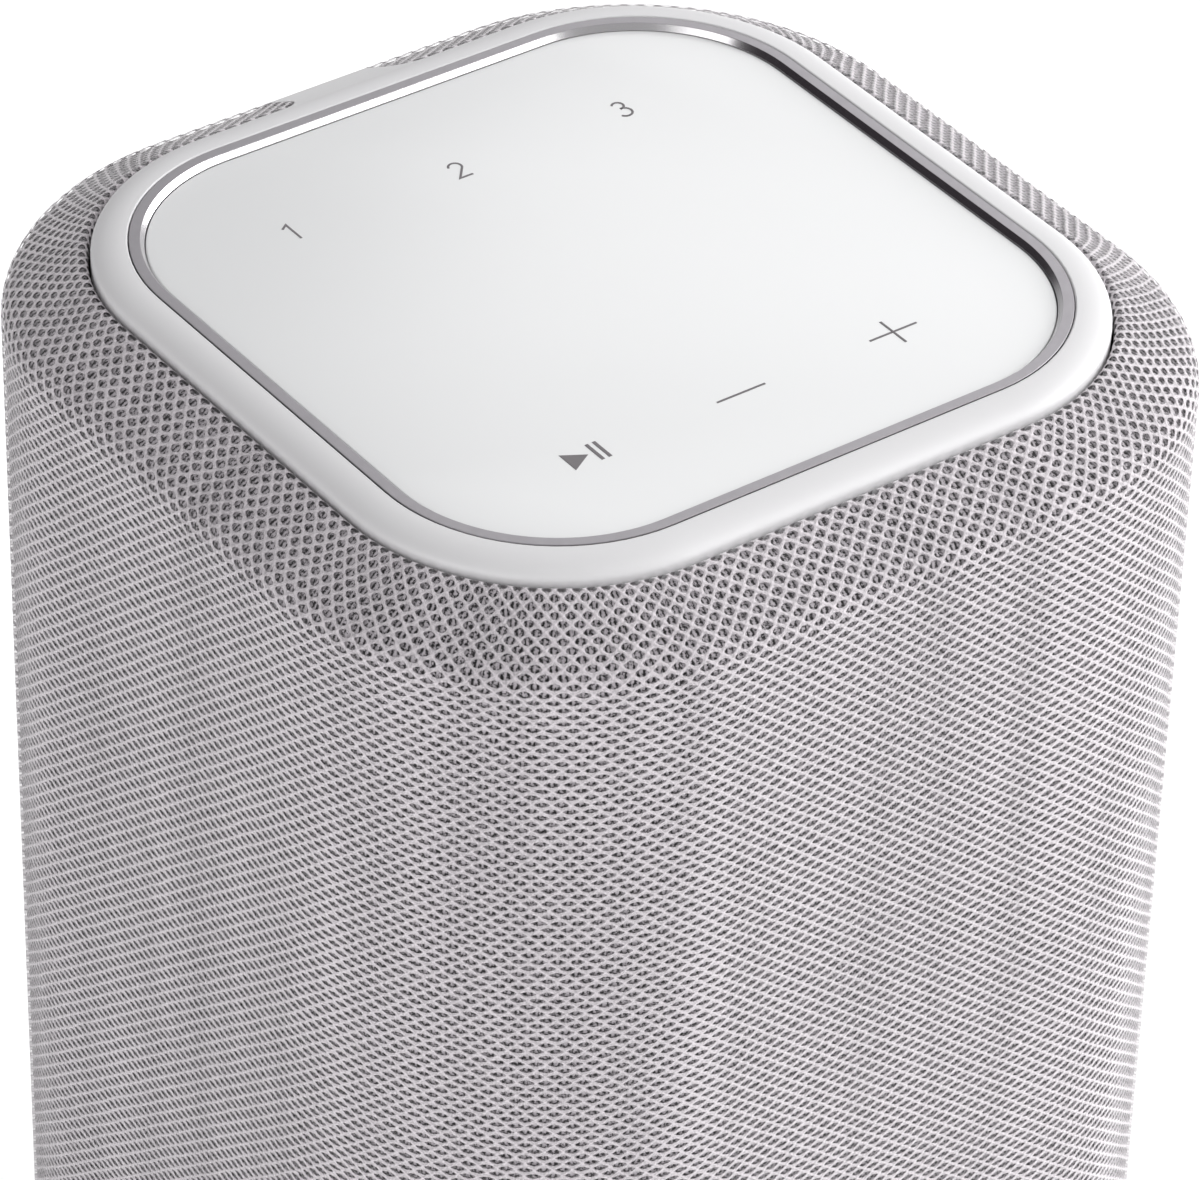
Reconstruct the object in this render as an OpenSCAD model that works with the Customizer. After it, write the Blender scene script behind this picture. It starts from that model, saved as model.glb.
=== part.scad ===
// Smart speaker: a square, soft-cornered fabric tower with a touch panel on top,
// one woofer and one tweeter facing the front (-Y), and a port column at the back (+Y).
// Origin at the middle of the underside, +Z up.

/* [Body] */
// Width and depth of the body over the fabric
body_w = 120; // [114:1:150]
// Overall height
body_h = 187; // [180:1:240]
// Radius of the vertical corners over the fabric
corner_r = 37.2; // [30:0.2:40]
// Slope of the fabric shoulder, in degrees below level
shoulder_slope = 30; // [24:1:36]
// Radius of the soft crease between shoulder and wall
crease_r = 4.5; // [4:0.1:7]
// Thickness of the knitted fabric
fabric_t = 0.9; // [0.6:0.1:1.4]
// Wall of the grille frame behind the fabric
frame_t = 2.2; // [1.6:0.1:3]
// Air gap between the grille frame and the inner housings
inner_gap = 3; // [2:0.1:5]

/* [Top] */
// Distance from the body's side to the outer edge of the trim ring
ring_inset = 10.5; // [9:0.1:13]
// Width of the trim ring, seen from above
ring_w = 4.3; // [3.5:0.1:6]
// Height that the ring falls from its inner to its outer edge
ring_fall = 1.75; // [1:0.05:2.2]
// Depth of the trim ring's section
ring_depth = 4.2; // [3.6:0.1:6]
// Width of the bezel's flat, from the ring to its polished edge
bezel_flat = 1.33; // [1:0.01:2.5]
// Depth of the touch panel below the bezel
panel_recess = 0.75; // [0.4:0.05:1.5]
// Width of the bezel's polished edge, seen from above
bezel_chamfer = 0.5; // [0.3:0.05:1]
// Thickness of the touch panel
panel_t = 1.8; // [1:0.1:3]
// Thickness of the touch sensor board
touch_board_t = 1; // [0.8:0.1:1.6]

/* [Rear] */
// Width of the rear spine below the ring
spine_w = 14; // [12:0.5:20]
// Radius of the flare where the spine meets the ring
flare_r = 4; // [2:0.5:6]
// Width of the port bay
bay_w = 34; // [30:0.5:40]
// Height of the top of the port bay above the floor
bay_top = 132; // [128:1:140]
// Radius of the bay's corners
bay_r = 6; // [3:0.5:9]
// Width of the border that the trim leaves around the port panel
bay_border = 3.5; // [2.5:0.1:5]
// Depth of the port panel below the trim
port_recess = 1.7; // [1:0.1:2.5]
// Height of the mains inlet's centre above the floor
inlet_z = 30; // [28:1:34]
// Height of the network jack's centre
network_z = 55; // [50:1:58]
// Height of the data socket's centre
data_z = 74; // [70:1:76]
// Height of the audio jack's centre
aux_z = 87; // [84:1:90]
// Height of the status light
status_z = 96; // [94:1:98]
// Height of the connect button
connect_z = 105; // [103:1:107]
// Height of the wireless pairing button
pairing_z = 117; // [115:1:119]
// Radius of the buttons' caps
button_r = 3.4; // [2.5:0.1:4]
// Travel of the buttons
button_travel = 0.5; // [0.3:0.05:0.8]
// Radius of the audio jack's bore
aux_r = 1.75; // [1.5:0.05:2]

/* [Speakers] */
// Outside diameter of the woofer's flange
woofer_d = 89; // [72:1:92]
// Height of the woofer's axis
woofer_z = 62; // [58:1:66]
// Depth of the woofer, from its flange to the back of its motor
woofer_depth = 47; // [42:1:50]
// Diameter of the woofer's voice coil
woofer_coil_d = 26; // [20:1:30]
// Excursion of the woofer's cone each way
woofer_stroke = 3; // [1:0.5:4]
// Outside diameter of the tweeter's faceplate
tweeter_d = 52; // [48:1:60]
// Distance from the top of the body down to the tweeter's axis
tweeter_drop = 53; // [50:1:56]
// Diameter of the tweeter's dome
dome_d = 25; // [22:0.5:26]
// Excursion of the tweeter's dome each way
dome_stroke = 0.3; // [0.1:0.1:0.5]

/* [Cabinet] */
// Wall of the cabinet
cabinet_t = 3; // [2:0.1:4]
// Thickness of the front baffle
baffle_t = 4; // [3:0.5:6]
// Distance from the body's front to the front of the baffle
baffle_inset = 16.5; // [15:0.5:20]
// Distance from the body's back to the cabinet's rear wall
electronics_depth = 46; // [44:1:52]
// Wall of the rear housing
housing_t = 2.4; // [1.6:0.1:3]
// Thickness of the circuit boards
board_t = 1.6; // [1:0.1:2]
// Height of the posts that the boards stand on
board_post = 6; // [4:0.5:8]

/* [Base] */
// Thickness of the rubber foot
foot_t = 1.6; // [1:0.1:3]
// Distance from the body's side to the foot's outer edge
foot_inset = 8; // [6:0.5:14]
// Width of the foot's ring
foot_w = 12; // [8:0.5:16]
// Height of the fabric's lower edge above the floor
hem_z = 4; // [3.5:0.1:6]
// Minor radius of the stand thread
stand_thread_r = 2.55; // [2.4:0.05:3]
// Length of the stand thread
stand_thread_l = 6; // [5:0.1:6]

/* [Hidden] */
$fn = 64;

// Body outline
half_w = body_w / 2;
core = half_w - corner_r;
shell_t = fabric_t + frame_t;
inner_a = half_w - shell_t;
housing_a = inner_a - inner_gap;
arc_steps = 6;
joint_clear = 0.2;
moving_clear = 0.3;
reach = 300;

// Shoulder
ring_out = half_w - ring_inset;
groove_gap = 0.3;
edge_a = ring_out + 0.1;
edge_z = body_h - 1.3;
shoulder_k = sin(shoulder_slope) * edge_a + cos(shoulder_slope) * edge_z;
crease_a = half_w - crease_r;
crease_z = (shoulder_k - crease_r - sin(shoulder_slope) * crease_a) / cos(shoulder_slope);
sleeve_in = ring_out + groove_gap;
sleeve_leg = 3;
hem_in = inner_a + 0.3;
frame_bottom = hem_z + fabric_t;

// Top stack
ring_in = ring_out - ring_w;
bezel_out = ring_in - 0.12;
bezel_top = body_h - 0.02;
bezel_edge = bezel_out - bezel_flat;
bezel_in = bezel_edge - bezel_chamfer;
panel_a = bezel_in - 0.1;
panel_z = body_h - panel_recess;
panel_under = panel_z - panel_t;
gasket_t = 0.3;
touch_board_a = panel_a - 0.25;
touch_board_z = panel_under - gasket_t - touch_board_t;
bezel_under = panel_under - 0.05;
carrier_top = body_h - ring_depth;
carrier_plate_t = 2.2;
carrier_rim_w = 8;
carrier_rim_out = ring_out + 4.5;
carrier_rim_z = body_h - 9.5;
cabinet_top = body_h - 14;
post_r = 3.5;
post_x = 30;

// Rear
bay_bottom = hem_z;
window_w = bay_w - 2 * bay_border;
window_bottom = 12;
window_top = bay_top - bay_border - 2.5;
window_r = 4;
port_face = half_w - port_recess;
housing_back = housing_a;
panel_flange = 2.5;
spine_fillet_r = 5;

// Port hardware
port_board_front = half_w - 18.4;
port_board_back = port_board_front - board_t;
port_board_w = window_w + 13;
jack_face = port_face - 0.3;
inlet_w = 22.4;
inlet_h = 13.4;
pin_pitch = 8.6;
pin_r = 1.15;
recess_r = 4.3;
recess_waist = 6.8;
recess_depth = 13;
network_w = 16;
network_h = 13.6;
network_open_w = 11.9;
network_open_h = 8.2;
network_depth = 13;
latch_w = 6.2;
latch_h = 2;
data_w = 14.4;
data_h = 7;
data_wall = 0.5;
tongue_w = 11;
tongue_t = 1.9;
aux_w = 8;
aux_collar_r = 3.3;
aux_length = 14;
switch_w = 6;
switch_h = 3.5;
plunger_r = 1.5;
plunger_h = 0.2;
light_pipe_r = 1;
button_flange_r = button_r + 1;
button_flange_t = 1.2;
button_stem_r = 1.3;
button_proud = 0.3;

// Speakers, along the depth from each flange's front
baffle_front = -(half_w - baffle_inset);
baffle_back = baffle_front + baffle_t;
cabinet_gasket_t = 1;
cabinet_front = baffle_back + cabinet_gasket_t;
cabinet_back = half_w - electronics_depth;
cabinet_bottom = 8;
tweeter_z = body_h - tweeter_drop;
woofer_r = woofer_d / 2;
flange_t = 3;
woofer_gasket_t = 0.8;
woofer_front = baffle_front - woofer_gasket_t - flange_t;
surround_w = 4.2;
surround_t = 0.7;
land_w = 1.9;
basket_in = woofer_r - 9.5;
land_in = basket_in + 1.1;
cone_out = land_in - surround_w;
cone_lip = 1.8;
coil_r = woofer_coil_d / 2;
former_t = 0.25;
winding_t = 0.3;
cone_neck_z = 13;
cone_t = 0.6;
cone_slope = cone_neck_z / (cone_out - cone_lip - coil_r);
cap_in = coil_r + 1;
cap_out = coil_r + 2.5;
cap_rise = 5;
cap_t = 0.5;
plate_t = 4;
back_plate_z = woofer_depth - plate_t;
top_plate_z = woofer_depth - 20;
magnet_z = top_plate_z + plate_t;
top_plate_r = coil_r + 15;
woofer_magnet_r = coil_r + 17;
gap_in = coil_r - former_t - 0.45;
gap_out = coil_r + winding_t + 0.35;
basket_wall = 2;
neck_z = flange_t + basket_wall;
seat_t = 2;
seat_z = top_plate_z - seat_t;
seat_out = coil_r + 14.5;
spider_z = top_plate_z - 9.5;
spider_land = 2.6;
spider_r = seat_out - basket_wall
    + (basket_in - seat_out + basket_wall) * (seat_z - spider_z) / (seat_z - neck_z);
lug_x = 2.6;
lug_drop = seat_out + 5;
flange_gap = 3.6;
woofer_screw_r = woofer_r - 3;
faceplate_t = 6.5;
faceplate_r = tweeter_d / 2;
tweeter_front = baffle_front - faceplate_t;
dome_r = dome_d / 2;
throat_r = dome_r + 1.1;
tweeter_lip_z = faceplate_t + 0.4;
tweeter_plate_z = faceplate_t + 4;
tweeter_plate_t = 2.5;
tweeter_magnet_t = 6;
tweeter_motor_r = dome_r + 8;
tweeter_boss_r = tweeter_motor_r + 0.6;

// Boards
board_z = cabinet_back + board_post;
board_face = board_z + board_t;
board_w = 88;
main_bottom = 92;
main_top = 164;
supply_bottom = 14;
supply_top = 88;
chip_x = -31;
chip_t = 1.5;

// Fasteners
screw_r = 1.5;
head_r = 2.8;
head_t = 1.6;
head_sink = 1.6;
base_disc_a = half_w - 1.2;
base_post_xy = 28;
insert_r = 5;
insert_z = foot_t + 0.2;

module outline(a) {
    square([2 * a, 2 * core], center = true);
    square([2 * core, 2 * a], center = true);
    for (sx = [-1, 1], sy = [-1, 1])
        translate([sx * core, sy * core]) circle(r = a - core);
}

module block(a, z0, z1) {
    translate([0, 0, z0]) linear_extrude(z1 - z0) outline(a);
}

module between_y(y0, y1) {
    translate([-reach / 2, y0, -reach / 2]) cube([reach, y1 - y0, 2 * reach]);
}

// Sweeps a section, with x as the distance from the middle of the body, around the outline
module around() {
    for (quarter = [0:3]) rotate(90 * quarter) {
        translate([core, core, 0]) rotate_extrude(angle = 90) translate([-core, 0]) children();
        translate([0, core, 0]) rotate([90, 0, 0]) linear_extrude(2 * core) children();
    }
}

// Sweeps a section, with x as the distance towards the back, across the back
module across_back(half) {
    translate([-half, 0, 0]) rotate([90, 0, 90]) linear_extrude(2 * half) children();
}

// Raises an outline drawn in x and z from y0 to y1
module from_front(y0, y1) {
    translate([0, y1, 0]) rotate([90, 0, 0]) linear_extrude(y1 - y0) children();
}

// Turns a part made along +Z so that it runs from y0 towards the back, at height z
module facing(y0, z, x = 0) {
    translate([x, y0, z]) rotate([-90, 0, 0]) children();
}

module rounded(w, z0, z1, r) {
    translate([-w / 2, z0 + r]) square([w, z1 - z0 - 2 * r]);
    translate([-w / 2 + r, z0]) square([w - 2 * r, z1 - z0]);
    for (sx = [-1, 1], z = [z0 + r, z1 - r]) translate([sx * (w / 2 - r), z]) circle(r = r);
}

module bar(size, at) {
    translate([at[0] - size[0] / 2, at[1], at[2] - size[2] / 2]) cube(size);
}

function slope_z(a, d) = (shoulder_k - d - sin(shoulder_slope) * a) / cos(shoulder_slope);
function shoulder(a0, d) = concat([[a0, slope_z(a0, d)]],
    [for (i = [0:arc_steps]) let (t = (90 - shoulder_slope) * (1 - i / arc_steps))
        [crease_a + (crease_r - d) * cos(t), crease_z + (crease_r - d) * sin(t)]]);
function reversed(list) = [for (i = [len(list) - 1:-1:0]) list[i]];

// The slot at the back through fabric and frame, or the spine that fills it
module spine_outline(c) {
    bay_half = bay_w / 2 + c;
    corner = bay_r + c;
    spine_half = spine_w / 2 + c;
    top = bay_top + c;
    translate([-bay_half, 0]) square([2 * bay_half, top - corner]);
    translate([-bay_half + corner, 0]) square([2 * (bay_half - corner), top]);
    for (sx = [-1, 1]) translate([sx * (bay_half - corner), top - corner]) circle(r = corner);
    translate([-spine_half, 0]) square([2 * spine_half, body_h + 1]);
    difference() {
        fillet = spine_fillet_r - c;
        translate([-spine_half - fillet, top - 1]) square([2 * (spine_half + fillet), fillet + 1]);
        for (sx = [-1, 1]) translate([sx * (spine_half + fillet), top + fillet]) circle(r = fillet);
    }
}

module flare_plan(c) {
    spine_half = spine_w / 2 + c;
    fillet = flare_r - c;
    start = ring_out + c;
    difference() {
        translate([-spine_half - fillet, start - 3]) square([2 * (spine_half + fillet), fillet + 3]);
        for (sx = [-1, 1]) translate([sx * (spine_half + fillet), start + fillet])
            circle(r = fillet);
    }
}

module rear_slot(c) {
    from_front(ring_out - 3, half_w + 5) spine_outline(c);
    translate([0, 0, body_h - 12]) linear_extrude(20) flare_plan(c);
}

module fabric_sleeve() color([0.78, 0.77, 0.78]) difference() {
    leg_z = slope_z(sleeve_in, 0) - sleeve_leg;
    around() polygon(concat(
        [[sleeve_in, leg_z]], shoulder(sleeve_in, 0),
        [[half_w, hem_z], [hem_in, hem_z], [hem_in, frame_bottom], [half_w - fabric_t, frame_bottom]],
        reversed(shoulder(sleeve_in + fabric_t, fabric_t)), [[sleeve_in + fabric_t, leg_z]]));
    rear_slot(joint_clear);
}

module grille_frame() color([0.35, 0.35, 0.36]) {
    slot_w = 10;
    slot_h = 5;
    columns = 3;
    pitch_x = slot_w + 3;
    pitch_z = slot_h + 4.5;
    first_z = frame_bottom + 9;
    rows = floor((crease_z - 6 - first_z) / pitch_z);
    difference() {
        around() polygon(concat(
            shoulder(sleeve_in + fabric_t, fabric_t),
            [[half_w - fabric_t, frame_bottom], [inner_a, frame_bottom]],
            reversed(shoulder(sleeve_in + fabric_t, shell_t))));
        rear_slot(joint_clear);
        for (side = [0, 90, 270], row = [0:rows - 1], column = [0:columns - 1])
            rotate(side) translate([(column - (columns - 1) / 2) * pitch_x - slot_w / 2,
                -half_w, first_z + row * pitch_z]) cube([slot_w, shell_t + 1, slot_h]);
    }
}

module top_trim() color([0.85, 0.85, 0.86]) {
    crown_w = ring_w - 0.15;
    crown_steps = 10;
    bottom_a = ring_out - 0.1;
    join_a = ring_out + 2.5;
    around() polygon(concat([[ring_in, carrier_top], [ring_in, body_h - ring_w + crown_w]],
        [for (i = [0:crown_steps]) let (t = 90 * i / crown_steps)
            [ring_out - crown_w * (1 - sin(t)), body_h - ring_fall * (1 - cos(t))]],
        [[ring_out, carrier_top]]));
    difference() {
        intersection() {
            across_back(core) polygon(concat(
                [[ring_out - 1.5, carrier_top], [ring_out - 1.5, body_h - ring_fall * 0.8],
                    [ring_out - 0.5, body_h - ring_fall * 0.62]],
                shoulder(join_a, 0), [[half_w, bay_bottom], [inner_a, bay_bottom]],
                reversed(shoulder(bottom_a, shell_t)), [[bottom_a, carrier_top]]));
            rear_slot(0);
        }
        from_front(0, half_w + 1) rounded(window_w, window_bottom, window_top, window_r);
    }
}

module bezel() color([0.6, 0.59, 0.6]) around() polygon([
    [bezel_in, bezel_under], [bezel_in, panel_z], [bezel_edge, bezel_top],
    [bezel_out - 0.08, bezel_top], [bezel_out, bezel_top - 0.08], [bezel_out, bezel_under]]);

module touch_panel() color([0.93, 0.93, 0.94]) block(panel_a, panel_under, panel_z);

module panel_gasket() color([0.15, 0.15, 0.15]) difference() {
    block(touch_board_a, panel_under - gasket_t, panel_under);
    block(touch_board_a - 3, panel_under - 2 * gasket_t, panel_under + gasket_t);
}

module touch_board() color([0.1, 0.35, 0.2])
    block(touch_board_a, touch_board_z, touch_board_z + touch_board_t);

module top_carrier() color([0.3, 0.3, 0.31]) {
    rim_in = carrier_rim_out - carrier_rim_w;
    step_a = ring_out - 0.1;
    difference() {
        union() {
            block(rim_in + 1, carrier_top - carrier_plate_t, carrier_top);
            block(bezel_out, carrier_top - 1, bezel_under);
            around() polygon([[rim_in, carrier_rim_z], [rim_in, carrier_top],
                [step_a, carrier_top], [step_a, slope_z(step_a, shell_t)],
                [carrier_rim_out, slope_z(carrier_rim_out, shell_t)],
                [carrier_rim_out, carrier_rim_z]]);
            for (sx = [-1, 1], sy = [-1, 1]) translate([sx * post_x, sy * post_x, cabinet_top])
                cylinder(r = post_r, h = carrier_top - carrier_plate_t - cabinet_top + 0.5);
        }
        block(touch_board_a + 0.15, touch_board_z, body_h);
        translate([-12, 20, 0]) cube([24, 5, body_h]);
    }
}

// The walls of the acoustic box between two depths, open to both sides
module cabinet_walls(y0, y1) {
    difference() {
        intersection() {
            block(housing_a, cabinet_bottom, cabinet_top);
            between_y(y0, y1);
        }
        block(housing_a - cabinet_t, cabinet_bottom + cabinet_t, cabinet_top - cabinet_t);
    }
}

function baffle_half(a) = core + sqrt(pow(a - core, 2) - pow(-baffle_front - core, 2));
side_x = baffle_half(housing_a) - 3.6;
low_z = cabinet_bottom + 6;
high_z = cabinet_top - 6;
mid_z = (woofer_z + woofer_r + tweeter_z - faceplate_r) / 2;
baffle_screw_at = [[-34, low_z], [34, low_z], [-side_x, mid_z], [side_x, mid_z],
    [-34, high_z], [34, high_z]];

boss_r = 3.8;

module cabinet_shell() color([0.22, 0.22, 0.23]) {
    boss_l = 18;
    lead_hole_r = 3.5;
    difference() {
        union() {
            cabinet_walls(cabinet_front, cabinet_back);
            intersection() {
                block(housing_a, cabinet_bottom, cabinet_top);
                between_y(cabinet_back - cabinet_t, cabinet_back);
            }
            intersection() {
                block(housing_a - 0.5, cabinet_bottom + 0.5, cabinet_top - 0.5);
                between_y(baffle_back, baffle_back + boss_l);
                union() for (p = baffle_screw_at) {
                    facing(baffle_back, p[1], p[0]) cylinder(r = boss_r, h = boss_l);
                    translate([p[0] > 0 ? p[0] : p[0] - 15, cabinet_front, p[1] - 1.5])
                        cube([15, boss_l, 3]);
                }
            }
            for (sx = [-1, 1], z = [main_bottom + 6, main_top - 6, supply_bottom + 6, supply_top - 6])
                facing(cabinet_back - 1, z, sx * (board_w / 2 - 6))
                    cylinder(r = 3, h = board_post + 1);
        }
        for (p = baffle_screw_at) facing(baffle_back - 1, p[1], p[0])
            cylinder(r = screw_r, h = boss_l - 2);
        facing(cabinet_back - cabinet_t - 1, lead_z, lead_x) cylinder(r = lead_hole_r, h = cabinet_t + 2);
    }
}

module cabinet_gasket() color([0.12, 0.12, 0.12]) difference() {
    cabinet_walls(baffle_back, cabinet_front);
    for (p = baffle_screw_at) facing(baffle_back - 1, p[1], p[0]) cylinder(r = boss_r + 0.1, h = 5);
}

module front_baffle() color([0.2, 0.2, 0.21]) difference() {
    intersection() {
        block(housing_a, cabinet_bottom, cabinet_top);
        between_y(baffle_front, baffle_back);
    }
    facing(baffle_front - 1, woofer_z) cylinder(r = basket_in + flange_gap, h = baffle_t + 2);
    facing(baffle_front - 1, tweeter_z) cylinder(r = tweeter_boss_r + 0.6, h = baffle_t + 2);
    for (p = baffle_screw_at) facing(baffle_front - 1, p[1], p[0])
        cylinder(r = screw_r + 0.1, h = baffle_t + 2);
    for (p = woofer_screw_at) facing(baffle_front - 1, p[1], p[0])
        cylinder(r = screw_r, h = baffle_t + 2);
    for (p = tweeter_screw_at) facing(baffle_front - 1, p[1], p[0])
        cylinder(r = screw_r, h = baffle_t + 2);
}

// A pan-head screw along +Z with a cross recess, its head's underside at z = 0
module screw(length) {
    difference() {
        union() {
            translate([0, 0, -head_t]) cylinder(r = head_r, h = head_t);
            translate([0, 0, -0.01]) cylinder(r = screw_r, h = length + 0.01);
        }
        for (turn = [0, 90]) rotate(turn) translate([-1.6, -0.35, -head_t - 1]) cube([3.2, 0.7, 1.9]);
    }
}

module baffle_screws() color([0.25, 0.25, 0.26]) for (p = baffle_screw_at)
    facing(baffle_front, p[1], p[0]) screw(baffle_t + 10);

woofer_screw_at = [for (turn = [45:90:315])
    [woofer_screw_r * cos(turn), woofer_z + woofer_screw_r * sin(turn)]];
tweeter_screw_at = [for (turn = [90, 210, 330])
    [(faceplate_r - 3) * cos(turn), tweeter_z + (faceplate_r - 3) * sin(turn)]];

module woofer_basket() color([0.16, 0.16, 0.17]) facing(woofer_front, woofer_z) {
    ledge_t = 1.4;
    window_wd = 14;
    difference() {
        union() {
            rotate_extrude() polygon([[basket_in, 0], [woofer_r, 0], [woofer_r, flange_t],
                [basket_in + 3, flange_t], [seat_out, seat_z], [seat_out, top_plate_z],
                [gap_out + 0.6, top_plate_z], [gap_out + 0.6, seat_z], [seat_out - basket_wall, seat_z],
                [basket_in, neck_z]]);
            rotate_extrude() polygon([[spider_r - spider_land, spider_z], [spider_r + 0.6, spider_z],
                [spider_r - 0.2, spider_z + ledge_t], [spider_r - spider_land, spider_z + ledge_t]]);
            translate([-5, -seat_out - 6, seat_z]) cube([10, 8, seat_t]);
        }
        for (window = [0:5]) rotate(60 * window + 30)
            translate([seat_out - basket_wall, -window_wd / 2, neck_z + 1.5])
                cube([woofer_r - seat_out, window_wd, spider_z - neck_z - 3.5]);
        for (turn = [45:90:315]) rotate(turn) translate([woofer_screw_r, 0, -1])
            cylinder(r = screw_r + 0.1, h = woofer_depth / 2);
    }
}

module woofer_gasket() color([0.1, 0.1, 0.1]) facing(woofer_front + flange_t, woofer_z)
    difference() {
        cylinder(r = woofer_r, h = woofer_gasket_t);
        translate([0, 0, -1]) cylinder(r = basket_in + flange_gap, h = woofer_gasket_t + 2);
        for (turn = [45:90:315]) rotate(turn) translate([woofer_screw_r, 0, -1])
            cylinder(r = screw_r + 0.1, h = woofer_gasket_t + 2);
    }

module ring(r0, r1, z0, z1) rotate_extrude() polygon([[r0, z0], [r1, z0], [r1, z1], [r0, z1]]);

module woofer_top_plate() color([0.6, 0.6, 0.62]) facing(woofer_front, woofer_z)
    ring(gap_out, top_plate_r, top_plate_z, magnet_z);

module woofer_magnet() color([0.18, 0.18, 0.19]) facing(woofer_front, woofer_z)
    ring(coil_r + 3, woofer_magnet_r, magnet_z, back_plate_z);

module woofer_back_plate() color([0.6, 0.6, 0.62]) facing(woofer_front, woofer_z) {
    vent_r = 4;
    rotate_extrude() polygon([[vent_r, top_plate_z], [gap_in, top_plate_z], [gap_in, back_plate_z],
        [top_plate_r, back_plate_z], [top_plate_r, woofer_depth - 1],
        [top_plate_r - 1, woofer_depth], [vent_r, woofer_depth]]);
}

module woofer_terminals() color([0.8, 0.68, 0.35]) facing(woofer_front, woofer_z) {
    lug_w = 2.8;
    lug_t = 0.8;
    for (sx = [-1, 1]) translate([sx * lug_x - lug_w / 2, -lug_drop, top_plate_z]) {
        cube([lug_w, 3.4, lug_t]);
        cube([lug_w, lug_t, 5]);
    }
}

module woofer_screws() color([0.25, 0.25, 0.26]) for (p = woofer_screw_at)
    facing(woofer_front, p[1], p[0]) screw(flange_t + woofer_gasket_t + baffle_t);

function cone_z(r) = cone_neck_z - (r - coil_r) * cone_slope;

module woofer_cone() color([0.13, 0.13, 0.14]) facing(woofer_front, woofer_z) rotate_extrude() {
    lip_in = cone_out - cone_lip;
    polygon([[coil_r, cone_neck_z], [lip_in, 0], [cone_out, 0], [cone_out, cone_t],
        [lip_in, cone_t], [coil_r, cone_neck_z + cone_t]]);
}

module woofer_dust_cap() color([0.12, 0.12, 0.13]) facing(woofer_front, woofer_z)
    rotate_extrude() {
        cap_z = cone_z(cap_out);
        cap_ball = (cap_out * cap_out + cap_rise * cap_rise) / (2 * cap_rise);
        ball_z = cap_z - cap_rise + cap_ball;
        cap_angle = asin(cap_out / cap_ball);
        inner_ball = cap_ball - cap_t;
        inner_angle = asin(cap_in / inner_ball);
        steps = 8;
        polygon(concat(
            [for (i = [0:steps]) let (t = cap_angle * i / steps)
                [cap_ball * sin(t), ball_z - cap_ball * cos(t)]],
            [[cap_in, cone_z(cap_in)]],
            [for (i = [steps:-1:0]) let (t = inner_angle * i / steps)
                [inner_ball * sin(t), ball_z - inner_ball * cos(t)]]));
    }

module woofer_voice_coil() color([0.72, 0.42, 0.2]) facing(woofer_front, woofer_z) {
    winding_z = top_plate_z - woofer_stroke;
    winding_l = plate_t + 2 * woofer_stroke;
    ring(coil_r - former_t, coil_r, cone_neck_z - 1, winding_z + winding_l + 1);
    ring(coil_r - 0.01, coil_r + winding_t, winding_z, winding_z + winding_l);
}

// Half-roll from the cone's lip to the flange
module woofer_surround() color([0.1, 0.1, 0.1]) facing(woofer_front, woofer_z) {
    roll_r = surround_w / 2;
    rotate_extrude() {
        translate([cone_out - cone_lip, -surround_t]) square([cone_lip, surround_t]);
        translate([land_in, -surround_t]) square([land_w, surround_t]);
        difference() {
            translate([cone_out + roll_r, 0]) circle(r = roll_r + surround_t / 2);
            translate([cone_out + roll_r, 0]) circle(r = roll_r - surround_t / 2);
            translate([cone_out - 1, 0]) square([surround_w + 2, roll_r + 2]);
        }
    }
}

// Corrugated disc that centres the coil
module woofer_spider() color([0.75, 0.6, 0.3]) facing(woofer_front, woofer_z) {
    outer = spider_r - 1;
    waves = 8;
    spider_t = 0.5;
    wave_h = 0.9;
    span = outer - spider_land - coil_r;
    front = [for (i = [0:waves]) [coil_r + span * i / waves, spider_z - spider_t - wave_h * (i % 2)]];
    rim_z = spider_z - spider_t;
    rotate_extrude() polygon(concat(front, [[outer, rim_z], [outer, rim_z + spider_t]],
        [for (p = reversed(front)) [p[0], p[1] + spider_t]]));
}

module tweeter_faceplate() color([0.17, 0.17, 0.18]) facing(tweeter_front, tweeter_z)
    difference() {
        rotate_extrude() polygon([[throat_r, faceplate_t], [throat_r, faceplate_t - 1.4],
            [throat_r + 2, faceplate_t - 3.6], [throat_r + 5.5, 0.8], [throat_r + 7.5, 0],
            [faceplate_r - 3, 0.4], [faceplate_r, 1.8], [faceplate_r, faceplate_t]]);
        for (turn = [90, 210, 330]) rotate(-turn) translate([faceplate_r - 3, 0, -1]) {
            cylinder(r = screw_r + 0.1, h = faceplate_t + 2);
            cylinder(r = head_r + 0.2, h = 1 + head_t + head_sink);
        }
    }

module tweeter_top_plate() color([0.62, 0.62, 0.64]) facing(tweeter_front, tweeter_z)
    rotate_extrude() polygon([[dome_r + 2.1, tweeter_lip_z], [dome_r + 5, tweeter_lip_z],
        [dome_r + 5, tweeter_plate_z], [tweeter_motor_r - 1, tweeter_plate_z],
        [tweeter_motor_r - 1, tweeter_plate_z + tweeter_plate_t],
        [dome_r + 0.6, tweeter_plate_z + tweeter_plate_t], [dome_r + 0.6, tweeter_plate_z],
        [dome_r + 2.1, tweeter_plate_z - 1.5]]);

module tweeter_magnet() color([0.2, 0.2, 0.21]) facing(tweeter_front, tweeter_z) {
    z0 = tweeter_plate_z + tweeter_plate_t;
    ring(dome_r + 2, tweeter_motor_r, z0, z0 + tweeter_magnet_t);
}

module tweeter_cup() color([0.62, 0.62, 0.64]) facing(tweeter_front, tweeter_z) {
    z0 = tweeter_plate_z + tweeter_plate_t + tweeter_magnet_t;
    vent_r = 2;
    rotate_extrude() polygon([[vent_r, tweeter_plate_z], [dome_r - 0.7, tweeter_plate_z],
        [dome_r - 0.7, z0], [tweeter_motor_r - 1, z0], [tweeter_motor_r - 1, z0 + 3],
        [vent_r, z0 + 3]]);
}

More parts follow.
